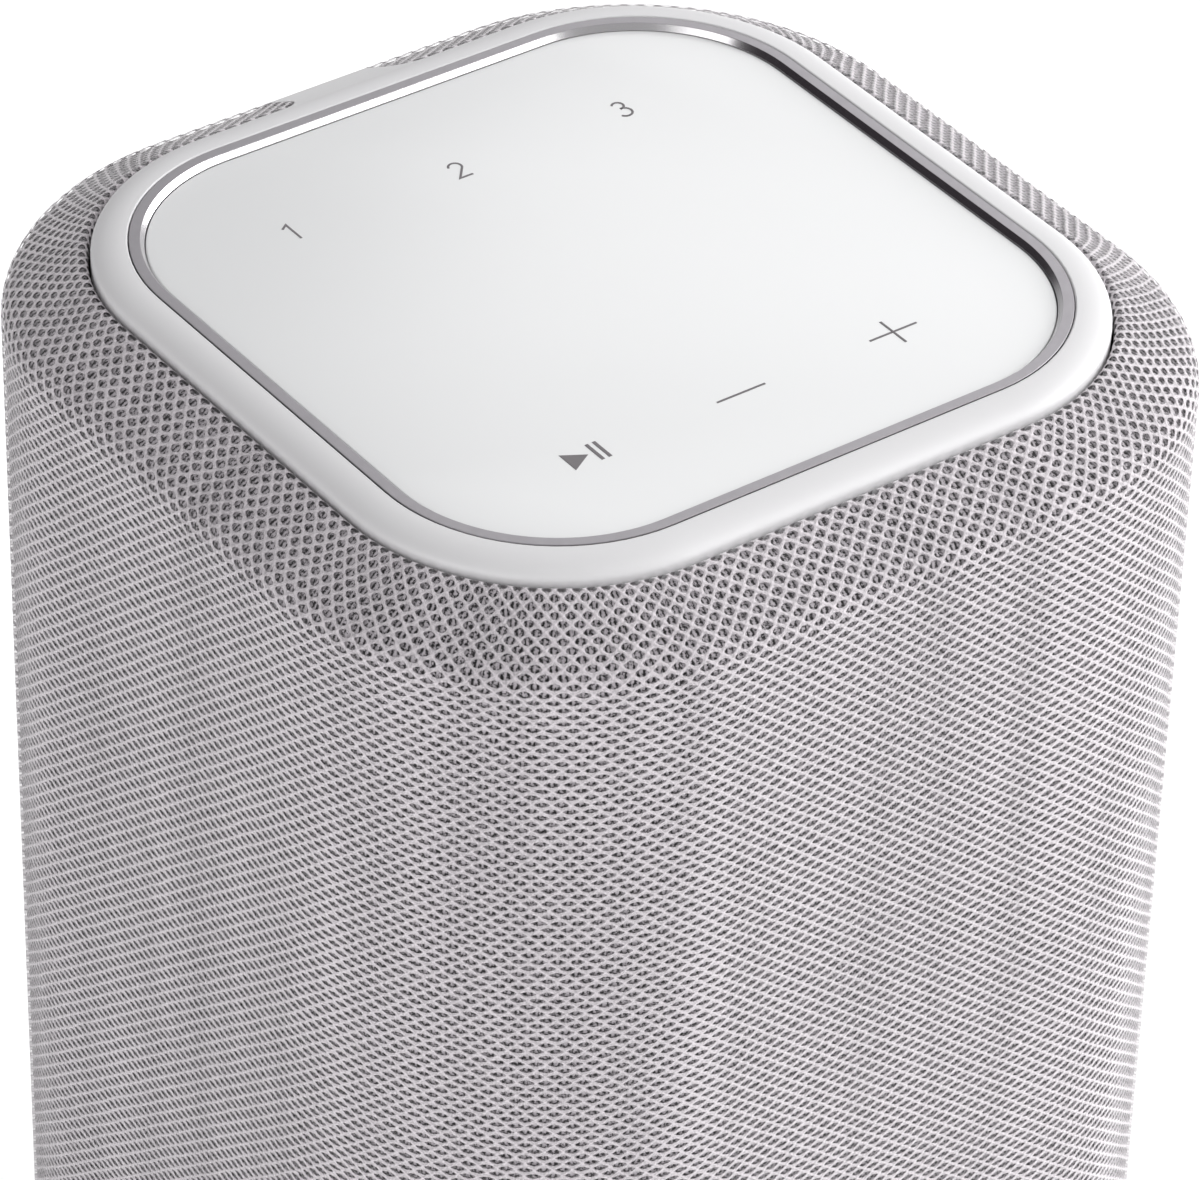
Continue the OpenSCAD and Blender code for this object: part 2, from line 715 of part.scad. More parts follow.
module tweeter_screws() color([0.25, 0.25, 0.26]) for (p = tweeter_screw_at)
    facing(tweeter_front + head_t + head_sink, p[1], p[0])
        screw(faceplate_t - head_t - head_sink + baffle_t);

module tweeter_dome() color([0.25, 0.25, 0.27]) facing(tweeter_front, tweeter_z)
    rotate_extrude() {
        rise = 4.6;
        dome_t = 0.3;
        ball = (dome_r * dome_r + rise * rise) / (2 * rise);
        ball_z = faceplate_t - rise + ball;
        angle = asin(dome_r / ball);
        inner = ball - dome_t;
        inner_angle = acos((ball_z - faceplate_t - dome_t) / inner);
        steps = 8;
        polygon(concat(
            [for (i = [0:steps]) let (t = angle * i / steps) [ball * sin(t), ball_z - ball * cos(t)]],
            [[dome_r + 0.6, faceplate_t], [dome_r + 0.6, faceplate_t + dome_t]],
            [for (i = [steps:-1:0]) let (t = inner_angle * i / steps)
                [inner * sin(t), ball_z - inner * cos(t)]]));
    }

module tweeter_coil() color([0.75, 0.5, 0.25]) facing(tweeter_front, tweeter_z) {
    coil_end = tweeter_plate_z + tweeter_plate_t + dome_stroke + 0.2;
    ring(dome_r - 0.15, dome_r + 0.2, faceplate_t + 0.3, coil_end);
}

module tweeter_surround() color([0.3, 0.3, 0.32]) facing(tweeter_front, tweeter_z)
    rotate_extrude() polygon([[dome_r + 0.3, faceplate_t + 0.3], [dome_r + 0.6, faceplate_t + 0.3],
        [dome_r + 1.1, faceplate_t + 1], [dome_r + 1.6, faceplate_t + 1],
        [dome_r + 2.1, faceplate_t], [dome_r + 4.5, faceplate_t], [dome_r + 4.5, tweeter_lip_z],
        [dome_r + 2.1, tweeter_lip_z], [dome_r + 1.7, faceplate_t + 1.4],
        [dome_r + 1, faceplate_t + 1.4], [dome_r + 0.6, faceplate_t + 0.7],
        [dome_r + 0.3, faceplate_t + 0.7]]);

lead_x = 22;
lead_z = 100;
lead_r = 0.9;
wool_bottom = lead_z + 13;
wool_front = tweeter_front + tweeter_plate_z + tweeter_plate_t + tweeter_magnet_t + 12;

module damping_wool() color([0.9, 0.9, 0.86]) intersection() {
    block(housing_a - cabinet_t, wool_bottom, cabinet_top - cabinet_t);
    between_y(wool_front, cabinet_back - cabinet_t);
}

// A wire along straight runs, each carried on a little past the corner where it starts
module wire(points, r) {
    for (i = [0:len(points) - 2]) {
        run = points[i + 1] - points[i];
        length = norm(run);
        lap = i > 0 ? r / 2 : 0;
        translate(points[i]) rotate([0, acos(run[2] / length), atan2(run[1], run[0])])
            translate([0, 0, -lap]) cylinder(r = r, h = length + lap, $fn = 8);
    }
}

module speaker_leads() {
    terminal_y = woofer_front + top_plate_z + 3;
    terminal_z = woofer_z + lug_drop;
    cup_y = tweeter_front + tweeter_plate_z + tweeter_plate_t + tweeter_magnet_t + 3;
    inside_y = cabinet_back - cabinet_t - 5;
    for (side = [-1, 1]) color(side > 0 ? [0.7, 0.1, 0.1] : [0.1, 0.1, 0.1]) {
        wire([[lead_x + side, cabinet_back + board_post, lead_z - 1.5],
            [lead_x + side, inside_y, lead_z - 1.5], [side * lug_x, inside_y - 6, lead_z - 4],
            [side * lug_x, terminal_y + 3, terminal_z], [side * lug_x, terminal_y + 2.01, terminal_z]],
            lead_r);
        wire([[lead_x + side, cabinet_back + board_post, lead_z + 1.5],
            [lead_x + side, inside_y, lead_z + 1.5], [lead_x + side, wool_front - 6, lead_z + 6],
            [5 + side * 3, cup_y + 3, tweeter_z - 8], [5 + side * 3, cup_y, tweeter_z - 8]],
            lead_r);
    }
}

module rear_housing() color([0.22, 0.22, 0.23]) {
    post_y = housing_back - housing_t;
    difference() {
        intersection() {
            block(housing_a, cabinet_bottom, cabinet_top);
            between_y(cabinet_back, housing_back);
        }
        intersection() {
            block(housing_a - housing_t, cabinet_bottom + housing_t, cabinet_top - housing_t);
            between_y(cabinet_back - 1, post_y);
        }
        from_front(post_y - 1, housing_back + 1)
            rounded(window_w, window_bottom, window_top, window_r);
    }
    for (sx = [-1, 1], z = [window_bottom + 4, (window_bottom + window_top) / 2, window_top - 4])
        facing(port_board_front, z, sx * (window_w / 2 + 3.5))
            cylinder(r = 2, h = post_y - port_board_front + 0.5);
}

module board(w, z0, z1, y0) {
    translate([-w / 2, y0, z0]) cube([w, board_t, z1 - z0]);
}

module main_board() color([0.08, 0.3, 0.18]) difference() {
    union() {
        board(board_w, main_bottom, main_top, board_z);
        bar([18, 7, 4], [0, board_face, main_bottom + 5]);
        for (x = [-9, -3, 3, 9]) bar([3.4, 1.2, 3.4], [x, board_face, main_bottom + 18]);
        bar([12, 1.4, 12], [0, board_face, main_bottom + 32]);
    }
    facing(board_z - 1, lead_z, lead_x) cylinder(r = 4, h = board_t + 2);
}

module shield_can() color([0.75, 0.75, 0.77]) difference() {
    bar([22, 3, 18], [0, board_face, main_top - 14]);
    bar([21, 2.6, 17], [0, board_face - 0.01, main_top - 14]);
}

module amplifier_chips() color([0.1, 0.1, 0.1]) for (z = [main_bottom + 26, main_bottom + 46])
    bar([10, chip_t, 10], [chip_x, board_face, z]);

module heat_sink() color([0.2, 0.2, 0.22]) {
    sink_w = 22;
    sink_h = 48;
    fins = 7;
    fin_t = 1.2;
    base_y = board_face + chip_t;
    sink_z = main_bottom + 36;
    bar([sink_w, 2.5, sink_h], [chip_x, base_y, sink_z]);
    for (fin = [0:fins - 1])
        bar([fin_t, 12, sink_h], [chip_x - (sink_w - fin_t) / 2 + fin * (sink_w - fin_t) / (fins - 1),
            base_y, sink_z]);
}

module filter_coils() color([0.55, 0.3, 0.15])
    for (x = [26, 38], z = [main_bottom + 22, main_bottom + 36])
        facing(board_face, z, x) ring(1.8, 5, 0, 8);

module supply_board() color([0.08, 0.3, 0.18]) union() {
    board(board_w, supply_bottom, supply_top, board_z);
    bar([9, 9, 5], [0, board_face, inlet_z]);
    bar([6, 4, 3], [12, board_face, supply_bottom + 8]);
    for (z = [50, 58, 66]) bar([5, 2, 3], [2, board_face, z]);
}

module transformer() color([0.85, 0.7, 0.2]) {
    tf_x = -32;
    tf_z = supply_bottom + 30;
    core_y = 16;
    bar([20, core_y, 5], [tf_x, board_face, tf_z - 9.5]);
    bar([20, core_y, 5], [tf_x, board_face, tf_z + 9.5]);
    bar([12, core_y - 3, 14.02], [tf_x, board_face + 1.5, tf_z]);
    for (sx = [-1, 1]) bar([3, core_y, 14.02], [tf_x + sx * 8.5, board_face, tf_z]);
}

module supply_capacitors() color([0.12, 0.15, 0.3])
    for (z = [supply_bottom + 18, supply_bottom + 38]) facing(board_face, z, 31)
        rotate_extrude() polygon([[0, 0], [8, 0], [8, 2.2], [7.4, 2.8], [8, 3.4], [8, 16.4],
            [7.4, 17], [0, 17]]);

module antenna(side) color([0.75, 0.6, 0.2]) {
    antenna_t = 1;
    translate([side > 0 ? housing_a : -housing_a - antenna_t, cabinet_back + 1, cabinet_top - 60])
        cube([antenna_t, min(7.5, core - cabinet_back - 1.5), 42]);
}
module antenna_left() antenna(-1);
module antenna_right() antenna(1);

module figure_eight(r, waist) {
    for (sx = [-1, 1]) translate([sx * pin_pitch / 2, inlet_z]) circle(r = r);
    translate([-pin_pitch / 2, inlet_z - waist / 2]) square([pin_pitch, waist]);
}

module port_panel() color([0.8, 0.8, 0.81]) difference() {
    union() {
        from_front(housing_back, inner_a) rounded(window_w + 2 * panel_flange,
            window_bottom - panel_flange, window_top + panel_flange, window_r + panel_flange);
        from_front(inner_a - 0.5, port_face) rounded(window_w - 2 * joint_clear,
            window_bottom + joint_clear, window_top - joint_clear, window_r - joint_clear);
    }
    from_front(0, half_w + 1) {
        translate([-inlet_w / 2 - joint_clear, inlet_z - inlet_h / 2 - joint_clear])
            square([inlet_w + 2 * joint_clear, inlet_h + 2 * joint_clear]);
        translate([-network_w / 2 - joint_clear, network_z - network_h / 2 - joint_clear])
            square([network_w + 2 * joint_clear, network_h + 2 * joint_clear]);
        translate([-data_w / 2 - joint_clear, data_z - data_h / 2 - joint_clear])
            square([data_w + 2 * joint_clear, data_h + 2 * joint_clear]);
        translate([0, aux_z]) circle(r = aux_collar_r + joint_clear);
        translate([0, status_z]) circle(r = light_pipe_r + joint_clear);
        for (z = [connect_z, pairing_z]) translate([0, z]) circle(r = button_r + moving_clear);
    }
}

module mains_inlet() color([0.1, 0.1, 0.1]) difference() {
    bar([inlet_w, jack_face - port_board_front, inlet_h], [0, port_board_front, inlet_z]);
    from_front(jack_face - recess_depth, jack_face + 1) figure_eight(recess_r, recess_waist);
}

module inlet_pins() color([0.8, 0.8, 0.82]) for (sx = [-1, 1])
    facing(jack_face - recess_depth, inlet_z, sx * pin_pitch / 2) cylinder(r = pin_r, h = 10.5);

module network_jack() color([0.14, 0.14, 0.15]) difference() {
    bar([network_w, jack_face - port_board_front, network_h], [0, port_board_front, network_z]);
    bar([network_open_w, network_depth + 1, network_open_h],
        [0, jack_face - network_depth, network_z + 0.8]);
    bar([latch_w, network_depth + 1, latch_h + 1],
        [0, jack_face - network_depth, network_z + 0.8 - network_open_h / 2 - latch_h / 2 + 0.5]);
}

module data_socket() color([0.8, 0.8, 0.82]) {
    socket_l = jack_face - port_board_front;
    difference() {
        bar([data_w, socket_l, data_h], [0, port_board_front, data_z]);
        bar([data_w - 2 * data_wall, socket_l, data_h - 2 * data_wall],
            [0, port_board_front + 3, data_z]);
    }
    bar([tongue_w, socket_l - 4, tongue_t], [0, port_board_front + 2, data_z + 1.2]);
}

module aux_jack() color([0.12, 0.12, 0.13]) difference() {
    union() {
        bar([aux_w, housing_back - 0.5 - port_board_front, aux_w], [0, port_board_front, aux_z]);
        facing(housing_back - 1, aux_z) cylinder(r = aux_collar_r, h = port_face - housing_back + 1);
    }
    facing(port_face - aux_length, aux_z) cylinder(r = aux_r, h = aux_length + 1);
}

module port_board() color([0.08, 0.3, 0.18]) union() {
    board(port_board_w, window_bottom, window_top, port_board_back);
    bar([3, 0.8, 2], [0, port_board_front, status_z]);
}

module button_switches() color([0.15, 0.15, 0.15]) for (z = [connect_z, pairing_z]) {
    bar([switch_w, switch_h, switch_w], [0, port_board_front, z]);
    facing(port_board_front + switch_h - 0.01, z) cylinder(r = plunger_r, h = plunger_h + 0.01);
}

module status_light_pipe() color([0.9, 0.95, 0.95])
    facing(port_board_front + 0.8, status_z)
        cylinder(r = light_pipe_r, h = port_face + 0.1 - port_board_front - 0.8);

// A cap with a retaining flange and a stem that stops short of its switch
module push_button(z) {
    cap_face = port_face + button_proud;
    flange_y = housing_back - moving_clear - button_flange_t;
    stem_end = port_board_front + switch_h + plunger_h + button_travel + moving_clear;
    facing(stem_end, z) rotate_extrude() polygon([[0, 0], [button_stem_r, 0],
        [button_stem_r, flange_y - stem_end], [button_flange_r, flange_y - stem_end],
        [button_flange_r, flange_y + button_flange_t - stem_end],
        [button_r, flange_y + button_flange_t - stem_end], [button_r, cap_face - 0.4 - stem_end],
        [button_r - 0.4, cap_face - stem_end], [button_r - 1.2, cap_face - stem_end],
        [0, cap_face - 0.25 - stem_end]]);
}

module connect_button() color([0.7, 0.7, 0.71]) push_button(connect_z);
module pairing_button() color([0.7, 0.7, 0.71]) push_button(pairing_z);

module base_plate() color([0.28, 0.28, 0.29]) difference() {
    plateau_z = frame_bottom + 0.6;
    union() {
        block(base_disc_a, foot_t, hem_z);
        block(inner_a - joint_clear, hem_z - 0.5, plateau_z);
        for (sx = [-1, 1], sy = [-1, 1])
            translate([sx * base_post_xy, sy * base_post_xy, plateau_z - 0.5])
                cylinder(r = 5, h = cabinet_bottom - plateau_z + 0.5);
        translate([0, 0, plateau_z - 0.5]) cylinder(r = 8, h = cabinet_bottom - 0.1 - plateau_z + 0.5);
    }
    translate([0, 0, foot_t - 1]) cylinder(r = insert_r, h = stand_thread_l + 1.2);
    for (sx = [-1, 1], sy = [-1, 1]) translate([sx * base_post_xy, sy * base_post_xy, 0]) {
        cylinder(r = screw_r + 0.1, h = cabinet_bottom + 1);
        translate([0, 0, -1]) cylinder(r = head_r + 0.3, h = foot_t + 1.2 + head_t);
    }
}

module rubber_foot() color([0.12, 0.12, 0.12]) difference() {
    block(half_w - foot_inset, 0, foot_t);
    block(half_w - foot_inset - foot_w, -1, foot_t + 1);
}

module threaded_insert() color([0.8, 0.65, 0.3]) translate([0, 0, insert_z])
    ring(stand_thread_r, insert_r, 0, stand_thread_l);

module base_screws() color([0.25, 0.25, 0.26]) for (sx = [-1, 1], sy = [-1, 1])
    translate([sx * base_post_xy, sy * base_post_xy, foot_t + head_t + 0.2])
        screw(cabinet_bottom - foot_t - head_t - 0.2);

fabric_sleeve();
grille_frame();
top_trim();
bezel();
touch_panel();
panel_gasket();
touch_board();
top_carrier();
cabinet_shell();
cabinet_gasket();
front_baffle();
baffle_screws();
woofer_basket();
woofer_gasket();
woofer_top_plate();
woofer_magnet();
woofer_back_plate();
woofer_terminals();
woofer_screws();
woofer_cone();
woofer_dust_cap();
woofer_voice_coil();
woofer_surround();
woofer_spider();
tweeter_faceplate();
tweeter_top_plate();
tweeter_magnet();
tweeter_cup();
tweeter_screws();
tweeter_dome();
tweeter_coil();
tweeter_surround();
damping_wool();
speaker_leads();
rear_housing();
main_board();
shield_can();
amplifier_chips();
heat_sink();
filter_coils();
supply_board();
transformer();
supply_capacitors();
antenna_left();
antenna_right();
port_panel();
mains_inlet();
inlet_pins();
network_jack();
data_socket();
aux_jack();
port_board();
button_switches();
status_light_pipe();
connect_button();
pairing_button();
base_plate();
rubber_foot();
threaded_insert();
base_screws();
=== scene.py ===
"""Looks of the smart speaker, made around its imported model.

Sizes are in metres, in the model's own frame: +Z up, the front towards -Y, the ports towards +Y.
"""

from __future__ import annotations

import logging
from math import cos, dist, pi, radians, sin, sqrt, tan
from dataclasses import dataclass, field
from enum import Enum
from functools import cache
from typing import Any, Callable, Sequence, Union

import bmesh
import bpy
import numpy as np
from mathutils import Matrix, Vector

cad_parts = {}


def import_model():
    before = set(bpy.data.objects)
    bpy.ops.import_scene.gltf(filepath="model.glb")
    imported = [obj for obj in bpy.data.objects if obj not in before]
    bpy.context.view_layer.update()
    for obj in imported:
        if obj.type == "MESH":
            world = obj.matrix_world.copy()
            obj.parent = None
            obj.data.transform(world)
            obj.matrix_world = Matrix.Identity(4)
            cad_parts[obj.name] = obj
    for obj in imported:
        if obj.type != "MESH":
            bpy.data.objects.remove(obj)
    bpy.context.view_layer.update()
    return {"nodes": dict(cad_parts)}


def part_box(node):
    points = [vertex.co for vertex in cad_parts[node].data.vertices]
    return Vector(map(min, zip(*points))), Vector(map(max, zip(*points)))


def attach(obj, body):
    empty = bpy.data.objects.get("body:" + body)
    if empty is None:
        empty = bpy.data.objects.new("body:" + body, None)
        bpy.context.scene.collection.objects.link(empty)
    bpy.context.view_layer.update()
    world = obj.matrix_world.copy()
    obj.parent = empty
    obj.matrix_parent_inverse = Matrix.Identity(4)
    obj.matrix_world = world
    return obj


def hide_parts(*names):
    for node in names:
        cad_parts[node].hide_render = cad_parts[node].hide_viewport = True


LOG = logging.getLogger("speaker")
MM = 0.001
HOUSING = "housing"
EVEN = (1.0, 1.0, 1.0)
BROAD = 22 * MM
WELD = 0.002 * MM
TINY = 0.001 * MM
SUNK = 0.1 * MM
ROUNDING = 1e-7
FINE_ARC = 36

Colour = Size3 = tuple[float, float, float]
Point2 = tuple[float, float]
Piece = bpy.types.Object
SkinPoint = tuple[float, float, float, float, float]


def tone(red: int, green: int, blue: int) -> Colour:
    """A colour as linear light.

    Args:
        red: its red as on a display, 0 to 255.
        green: its green.
        blue: its blue.

    Returns:
        The colour.
    """

    def linear(value: int) -> float:
        """One channel as linear light."""
        share = value / 255
        return share / 12.92 if share <= 0.04045 else ((share + 0.055) / 1.055) ** 2.4

    return (linear(red), linear(green), linear(blue))


def rgba(colour: Colour) -> tuple[float, float, float, float]:
    """The colour with full opacity."""
    return (*colour, 1.0)


def scaled(colour: Colour, factor: float) -> Colour:
    """The colour made lighter or darker."""
    return tuple(min(channel * factor, 1.0) for channel in colour)


# Node graphs


def operation(name: str, swapped: bool = False) -> Callable[..., Wire]:
    """A method that adds a Math node on a wire and another value.

    Args:
        name: the node's operation.
        swapped: whether the other value comes first.

    Returns:
        The method.
    """

    def method(wire: Wire, other: Value = 0.0) -> Wire:
        """The operation's result."""
        return wire.graph.math(name, *((other, wire) if swapped else (wire, other)))

    return method


class Wire:
    """A value in a node tree, with Python's operators."""

    def __init__(self, graph: Graph, socket: bpy.types.NodeSocket) -> None:
        """Keeps the socket that gives the value."""
        self.graph = graph
        self.socket = socket

    __add__, __radd__ = operation("ADD"), operation("ADD", True)
    __sub__, __rsub__ = operation("SUBTRACT"), operation("SUBTRACT", True)
    __mul__, __rmul__ = operation("MULTIPLY"), operation("MULTIPLY", True)
    __truediv__, __rtruediv__ = operation("DIVIDE"), operation("DIVIDE", True)
    __pow__, __abs__ = operation("POWER"), operation("ABSOLUTE")
    floor, fract = operation("FLOOR"), operation("FRACT")
    sin, low = operation("SINE"), operation("MINIMUM")

    def also(self, name: str) -> Wire:
        """Another output of the same node."""
        return Wire(self.graph, self.socket.node.outputs[name])

    def step(self, start: Value, end: Value) -> Wire:
        """Smooth change from 0 to 1 as the value goes from start to end."""
        inputs = {"Value": self, "From Min": start, "From Max": end}
        return self.graph.node("ShaderNodeMapRange", {"interpolation_type": "SMOOTHSTEP"}, inputs)


Value = Union[Wire, float]


class Graph:
    """A node tree, and the one way to add a node to it."""

    def __init__(self, tree: bpy.types.NodeTree) -> None:
        """Keeps the tree."""
        self.tree = tree

    def node(self, kind: str, settings: dict[str, Any] | None = None,
             inputs: dict[Any, Any] | None = None, output: Any = 0) -> Wire:
        """Adds a node.

        Args:
            kind: the node's type.
            settings: its own values, set before its sockets.
            inputs: a value or a wire for each socket, by name or number.
            output: the output to return.

        Returns:
            The chosen output.
        """
        made = self.tree.nodes.new(kind)
        for name, value in (settings or {}).items():
            setattr(made, name, value)
        for key, value in (inputs or {}).items():
            if isinstance(value, Wire):
                self.tree.links.new(value.socket, made.inputs[key])
            else:
                made.inputs[key].default_value = value
        return Wire(self, made.outputs[output])

    def sink(self, kind: str, value: Wire, name: Any = 0) -> None:
        """Adds the node that a tree ends in, and feeds it."""
        made = self.tree.nodes.new(kind)
        self.tree.links.new(value.socket, made.inputs[name])

    def math(self, name: str, first: Value, second: Value) -> Wire:
        """A Math node on two values, of which some operations use one."""
        return self.node("ShaderNodeMath", {"operation": name}, {0: first, 1: second})

    def mix(self, factor: Value, first: Any, second: Any) -> Wire:
        """Mixes two colours, each a wire or a colour."""
        first, second = (c if isinstance(c, Wire) else rgba(c) for c in (first, second))
        return self.node("ShaderNodeMix", {"data_type": "RGBA"}, {0: factor, 6: first, 7: second}, 2)

    def shades(self, factor: Value, colour: Colour, dark: float, light: float) -> Wire:
        """Mixes a darker and a lighter shade of one colour."""
        return self.mix(factor, scaled(colour, dark), scaled(colour, light))

    def place(self) -> Wire:
        """The point in the piece's own coordinates."""
        return self.node("ShaderNodeTexCoord", output="Object")

    def axes(self, point: Wire | None = None) -> Wire:
        """A point's X, with its Y and Z as further outputs; the piece's own point if not given."""
        return self.node("ShaderNodeSeparateXYZ", None, {0: point or self.place()})

    def noise(self, size: float, detail: float = 2.0, at: Wire | None = None,
              stretch: Colour = EVEN, rough: float = 0.55) -> Wire:
        """Noise whose features are about size across.

        Args:
            size: feature size, in the units of the coordinates.
            detail: octaves.
            at: coordinates; the piece's own if not given.
            stretch: a factor on the frequency along each axis.
            rough: how strong the finer octaves are.

        Returns:
            A value around 0.5.
        """
        point = self.node("ShaderNodeMapping", None, {"Vector": at or self.place(), "Scale": stretch})
        inputs = {"Vector": point, "Scale": 1 / size, "Detail": detail, "Roughness": rough}
        return self.node("ShaderNodeTexNoise", {"noise_dimensions": "3D"}, inputs)

    def bump(self, height: Wire, depth: float, normal: Wire | None = None) -> Wire:
        """A normal from a height of 0 to 1 that stands for depth."""
        under = {"Normal": normal} if normal else {}
        return self.node("ShaderNodeBump", None, {"Height": height, "Distance": depth, **under})

    def softened(self, radius: float) -> Wire:
        """A normal that rounds edges by radius."""
        return self.node("ShaderNodeBevel", {"samples": 4}, {"Radius": radius}, "Normal")


# Finishes


@dataclass(frozen=True)
class Grain:
    """Fine surface detail, with its size, its depth and the softened edges in millimetres."""

    size: float = 0.3
    depth: float = 0.01
    tint: float = 0.05
    gloss: float = 0.08
    stretch: Colour = EVEN
    edge: float = 0.15


@dataclass(frozen=True)
class Finish:
    """A finish with an even colour and a fine grain."""

    name: str
    colour: Colour
    roughness: float = 0.5
    metallic: float = 0.0
    coat: float = 0.0
    sheen: float = 0.0
    glow: float = 0.0
    gloss: float = 0.06
    coat_ior: float = 1.5
    grain: Grain = Grain()

    @cache
    def material(self) -> bpy.types.Material:
        """The material, made once."""
        made = bpy.data.materials.new(f"{self.name}_finish")
        made.use_nodes = True
        made.diffuse_color = rgba(self.colour)
        made.node_tree.nodes.clear()
        graph = Graph(made.node_tree)
        fixed = {
            "Metallic": self.metallic, "Coat Weight": self.coat, "Coat Roughness": self.gloss,
            "Coat IOR": self.coat_ior, "Sheen Weight": self.sheen, "Sheen Roughness": 0.4,
            "Emission Color": rgba(self.colour), "Emission Strength": self.glow,
        }
        shader = graph.node("ShaderNodeBsdfPrincipled", None, {**fixed, **self.paint(graph)})
        graph.sink("ShaderNodeOutputMaterial", shader, "Surface")
        return made

    def paint(self, graph: Graph) -> dict[str, Any]:
        """The finish's nodes.

        Args:
            graph: the material's tree.

        Returns:
            What changes over the surface, by the shader's socket.
        """
        grain, size = self.grain, self.grain.size * MM
        fine = graph.noise(size, stretch=grain.stretch)
        broad = graph.noise(BROAD, 1.0)
        light = (fine - 0.5) * (2 * grain.tint) + (broad - 0.5) * grain.tint + 0.5
        return {
            "Base Color": graph.shades(light, self.colour, 0.72, 1.28),
            "Roughness": (graph.noise(size * 9) - 0.5) * (2 * grain.gloss) + self.roughness,
            "Normal": graph.bump(fine, grain.depth * MM, graph.softened(grain.edge * MM)),
        }


@dataclass(frozen=True)
class Knit(Finish):
    """An open knit of pale yarn over an inner layer of pale thread with dark gaps, on the piece's own knit
    coordinates; the dark gaps are painted shade, and so is the yarn's darkening away from its crests.
    """

    ground: Colour = tone(200, 194, 199)
    # painted shade: the dark colour given to the gaps in the inner layer, standing for the shade inside
    # the holes
    gap_shade: Colour = tone(34, 31, 33)
    wall_hole: Point2 = (0.42, 0.37)
    shoulder_hole: Point2 = (0.345, 0.48)
    relief: float = 0.26 * MM
    upper: float = 0.25
    fibre: float = 0.07
    ticks: float = 3.0
    wale: float = 4.0
    cloth: float = 24 * MM

    def paint(self, graph: Graph) -> dict[str, Any]:
        """The lens-shaped holes in staggered rows, the crossing yarns and their fibres, with painted shade
        off the yarns' crests and in the inner layer's gaps.
        """
        raw = graph.node("ShaderNodeUVMap", {"uv_map": "knit"})
        sway = graph.noise(2.2, 1.0, at=raw)
        parts = graph.axes(raw)
        across = parts + (sway.also("Color") - 0.5) * 0.16
        rows = parts.also("Y") * 2 + (sway - 0.5) * 0.34
        lift = graph.node("ShaderNodeAttribute", {"attribute_name": "lift"}, output="Fac")
        inner = graph.node("ShaderNodeAttribute", {"attribute_name": "inner"}, output="Fac")
        shifted = across + rows.floor() * 0.5
        side = abs(shifted.fract() - 0.5)
        rise = abs(rows.fract() - 0.5)
        cell = graph.node("ShaderNodeCombineXYZ", None, {0: shifted.floor(), 1: rows.floor()})
        chance = graph.node("ShaderNodeTexWhiteNoise", {"noise_dimensions": "2D"}, {"Vector": cell})
        half_w, half_h = (
            lift * (high - low) + low for low, high in zip(self.wall_hole, self.shoulder_hole)
        )
        wale = graph.noise(self.wale, at=raw, stretch=(1.0, 0.07, 1.0))
        half_h = half_h * (chance * 0.16 + wale * 0.6 + 0.62)
        bend = lift * 0.5 + 1.15

        def reach(x: Wire, y: Wire) -> Wire:
            """0 at a hole's middle, 1 at its edge, more on the yarn."""
            return (y / half_h) ** bend + (x / half_w) ** 2

        blot = graph.noise(0.24, 3.0, at=raw, stretch=(1.5, 1.0, 1.0), rough=0.65)
        edge = reach(side, rise).low(reach(0.5 - side, 1.0 - rise)) + (blot - 0.5) * 0.9
        hole = 1 - edge.step(0.76, 1.10)
        rising = (across + rows * 0.5 + 0.25).fract() - 0.5
        falling = (across - rows * 0.5 + 0.75).fract() - 0.5
        over = 1 - abs(rising).step(0.0, self.upper)
        under = 1 - abs(falling).step(0.0, self.upper)
        turned = graph.node("ShaderNodeCombineXYZ", None,
                            {0: across + rows * 0.5, 1: across - rows * 0.5})
        ply_over = graph.noise(self.fibre, at=turned, stretch=(1.0, 0.22, 1.0))
        ply_under = graph.noise(self.fibre, at=turned, stretch=(0.22, 1.0, 1.0))
        ply = ply_under + (ply_over - ply_under) * over.step(0.2, 0.6)
        cloth = graph.noise(self.cloth)
        # crest sets the bump height and, through light, a painted shade: the yarn is lighter on its
        # strands' crests and where they cross, darker between them
        crest = under * 0.58 + over * 0.42
        light = crest * 0.5 + (ply - 0.5) * 2.6 + (blot - 0.5) * 1.2 + (cloth - 0.5) * 0.2
        light = light - (wale - 0.5) * 0.8 + 0.30
        yarn = graph.shades(light.step(0.0, 1.0), self.colour, 0.74, 1.22)
        # painted shade: this mask sets where the inner layer shows pale thread and where it shows the dark
        # gap colour, with slanted dark dashes from tick
        tick = abs((shifted * self.ticks + blot).fract() - 0.5)
        thread = (blot + (ply - 0.5) * 0.4 + (tick - 0.25) * 0.45).step(0.41, 0.57)
        below = graph.mix(thread, self.gap_shade, self.ground)
        return {
            "Base Color": graph.mix(inner, yarn, below),
            "Roughness": 0.78 + (ply - 0.5) * 0.2,
            "Normal": graph.bump(crest * 0.7 + ply * 0.3, self.relief),
            "Alpha": 1 - hole * (1 - inner),
        }


@dataclass(frozen=True)
class Weave(Finish):
    """Plain woven cloth with an even thread."""

    thread: float = 0.35 * MM

    def paint(self, graph: Graph) -> dict[str, Any]:
        """Threads over and under each other."""
        parts = graph.axes()
        turn = 2 * pi / self.thread
        cloth = ((parts * turn).sin() * (parts.also("Z") * turn).sin()) * 0.5 + 0.5
        fuzz = graph.noise(self.thread / 3)
        light = cloth * 0.6 + fuzz * 0.4
        return {
            "Base Color": graph.shades(light, self.colour, 0.6, 1.2),
            "Roughness": 0.7 + fuzz * 0.2,
            "Normal": graph.bump(light, self.thread / 4),
        }


